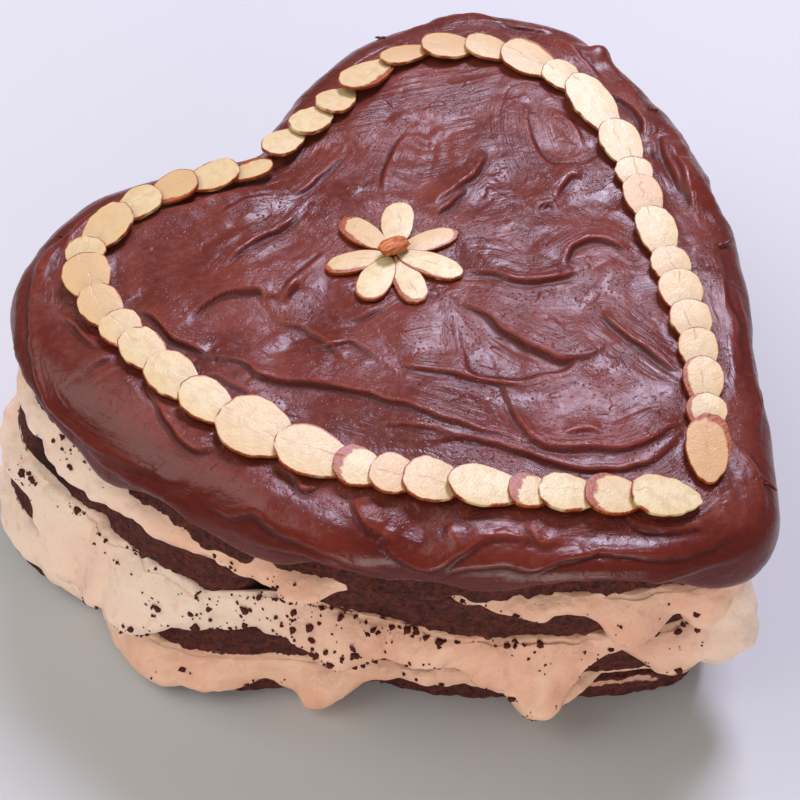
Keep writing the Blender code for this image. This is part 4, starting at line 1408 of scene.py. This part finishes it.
# %% Cream
paint = Finish("cream", IOR=1.4, Subsurface_Weight=0.12, Subsurface_Scale=0.004)
pale = paint.value("pale")
cloud, curd = paint.noise(14, 3), paint.noise(2.0, 4, 0.6)
colour = paint.glaze(
    paint.blend(paint.between(cloud, 0.3, 0.7), tint(224, 168, 139), tint(237, 192, 162)),
    (paint.between(pale, 0.0, 1.0) * 0.7, (238, 220, 200)),
    (paint.between(curd, 0.55, 0.8) * 0.25, (238, 208, 182)),
    ((1 - paint.between(paint.noise(5, 3), 0.28, 0.42)) * 0.3, (206, 140, 116)),
)
bubbles = paint.between(paint.cells(1.6), 0.02, 0.22)
height = curd * 0.6 + bubbles * 0.25 + paint.noise(6, 2) * 1.2
paint.finish(
    creams, Base_Color=colour, Roughness=0.42 + (curd - 0.5) * 0.3,
    Normal=paint.bump(height, 0.8, 0.8),
)

# %% [markdown]
# ## Almond finish
#
# A cut almond is cream coloured and tanner towards its rim, with a faint broken line along it,
# short fibres and a few dark specks. Its skin is rust brown.

# %% Almonds
paint = Finish("almond", IOR=1.45)
skin, tone, across = (paint.value(name) for name in ("skin", "tone", "across"))
mottle, fibre = paint.noise(3.0, 4, 0.6), paint.noise(0.7, 3, 0.6)
crease = paint.maths("ABSOLUTE", paint.noise(9.0, 2) * 7.0 - 3.5 + across)
near_crease = (1 - paint.between(crease, 0.0, 0.4)) * paint.between(paint.noise(7.0, 2), 0.45, 0.6)
from_middle = paint.maths("ABSOLUTE", across)
colour = paint.glaze(
    paint.blend(tone, tint(210, 193, 147), tint(192, 146, 95)),
    (paint.between(mottle, 0.4, 0.68) * 0.6, (194, 158, 110)),
    (paint.between(from_middle, 1.5, 6.5) * 0.35, (208, 170, 108)),
    (near_crease * 0.3, (186, 138, 90)),
    (1 - paint.between(paint.cells(3.2), 0.0, 0.07), (150, 100, 60)),
)
rust = paint.blend(paint.between(fibre, 0.35, 0.7), tint(120, 46, 8), tint(178, 88, 22))
colour = paint.blend(paint.between(skin, 0.1, 0.9), colour, rust)
height = mottle * 0.5 + fibre * 0.3 - near_crease * 0.25
paint.finish(
    [almond_border, almond_flower], Base_Color=colour,
    Roughness=0.4 + (fibre - 0.5) * 0.3, Normal=paint.bump(height, 0.35, 0.8),
)

# %% The skin of the flower's middle
paint = Finish("almond_skin", IOR=1.45)
streak = paint.noise(0.8, 3, 0.6, paint.stretched(6, (0.15, 1.0, 1.0)))
colour = paint.blend(paint.between(streak, 0.35, 0.68), tint(150, 70, 26), tint(208, 122, 58))
paint.finish([nub_piece], Base_Color=colour, Roughness=0.45 + streak * 0.2, Normal=paint.bump(streak, 0.5))

# %% [markdown]
# ## Floor, light and camera
#
# A pale floor and three soft lights: a cool window high behind the cake on the right, whose
# reflection gives the ganache's upper facets their lavender sheen, a broad one high behind on
# the left, and a low, warm one in front for the layers. The floor's and the lamps' lengths are in
# metres, and the camera's place is in millimetres again.

# %% Floor
FLOOR_REACH = 2.0
# The floor lies this much lower than the cake's foot, so that the two don't flicker
FLOOR_LEVEL = -0.0003
floor_mesh = bpy.data.meshes.new("floor")
corners = [(FLOOR_REACH * x, FLOOR_REACH * y, FLOOR_LEVEL) for x, y in ((-1, -1), (1, -1), (1, 1), (-1, 1))]
floor_mesh.from_pydata(corners, [], [(0, 1, 2, 3)])
floor = bpy.data.objects.new("floor", floor_mesh)
bpy.context.scene.collection.objects.link(floor)
paint = Finish("floor")
paint.finish([floor], Base_Color=tint(194, 194, 193), Roughness=0.9)


# %% Lights
def soft_light(name, place, aim, size, watts, colour):
    """A square lamp of this size that looks at the aim."""
    lamp = bpy.data.lights.new(name, "AREA")
    lamp.size = size
    lamp.energy = watts
    lamp.color = colour
    light = bpy.data.objects.new(name, lamp)
    light.location = place
    light.rotation_euler = (Vector(aim) - Vector(place)).to_track_quat("-Z", "Y").to_euler()
    bpy.context.scene.collection.objects.link(light)


# Name, place, aim, size, watts and colour
soft_light("window", (0.82, 0.41, 1.38), (0, 0, 0.08), 0.47, 31, (0.76, 0.75, 1.0))
soft_light("overhead", (-0.65, 0.75, 1.35), (0, 0, 0.05), 1.2, 13, (1.0, 0.96, 0.92))
soft_light("front", (-1.15, -1.25, 0.36), (0, 0, 0.05), 0.9, 14.5, (1.0, 0.95, 0.90))

# %% The light all round
world = bpy.data.worlds.new("studio")
world.use_nodes = True
air = world.node_tree.nodes["Background"].inputs
air["Color"].default_value = (0.98, 0.96, 0.97, 1.0)
air["Strength"].default_value = 0.27
bpy.context.scene.world = world
bpy.context.scene.view_settings.view_transform = "Standard"

# %% Camera
# Where the camera stands and what it looks at, and its lens and the width of its film
CAMERA_PLACE = np.array([-190.2, -157.4, 364.3])
CAMERA_AIM = np.array([-4.3, 28.5, 11.6])
LENS = 54.0
FILM_WIDTH = 36.0
camera_data = bpy.data.cameras.new("camera")
camera_data.lens = LENS
camera_data.sensor_width = FILM_WIDTH
camera = bpy.data.objects.new("camera", camera_data)
place, aim = (Vector((point - MIDDLE) * MM) for point in (CAMERA_PLACE, CAMERA_AIM))
camera.location = place
camera.rotation_euler = (aim - place).to_track_quat("-Z", "Y").to_euler()
bpy.context.scene.collection.objects.link(camera)
bpy.context.scene.camera = camera
print("camera at", [round(value, 3) for value in place])
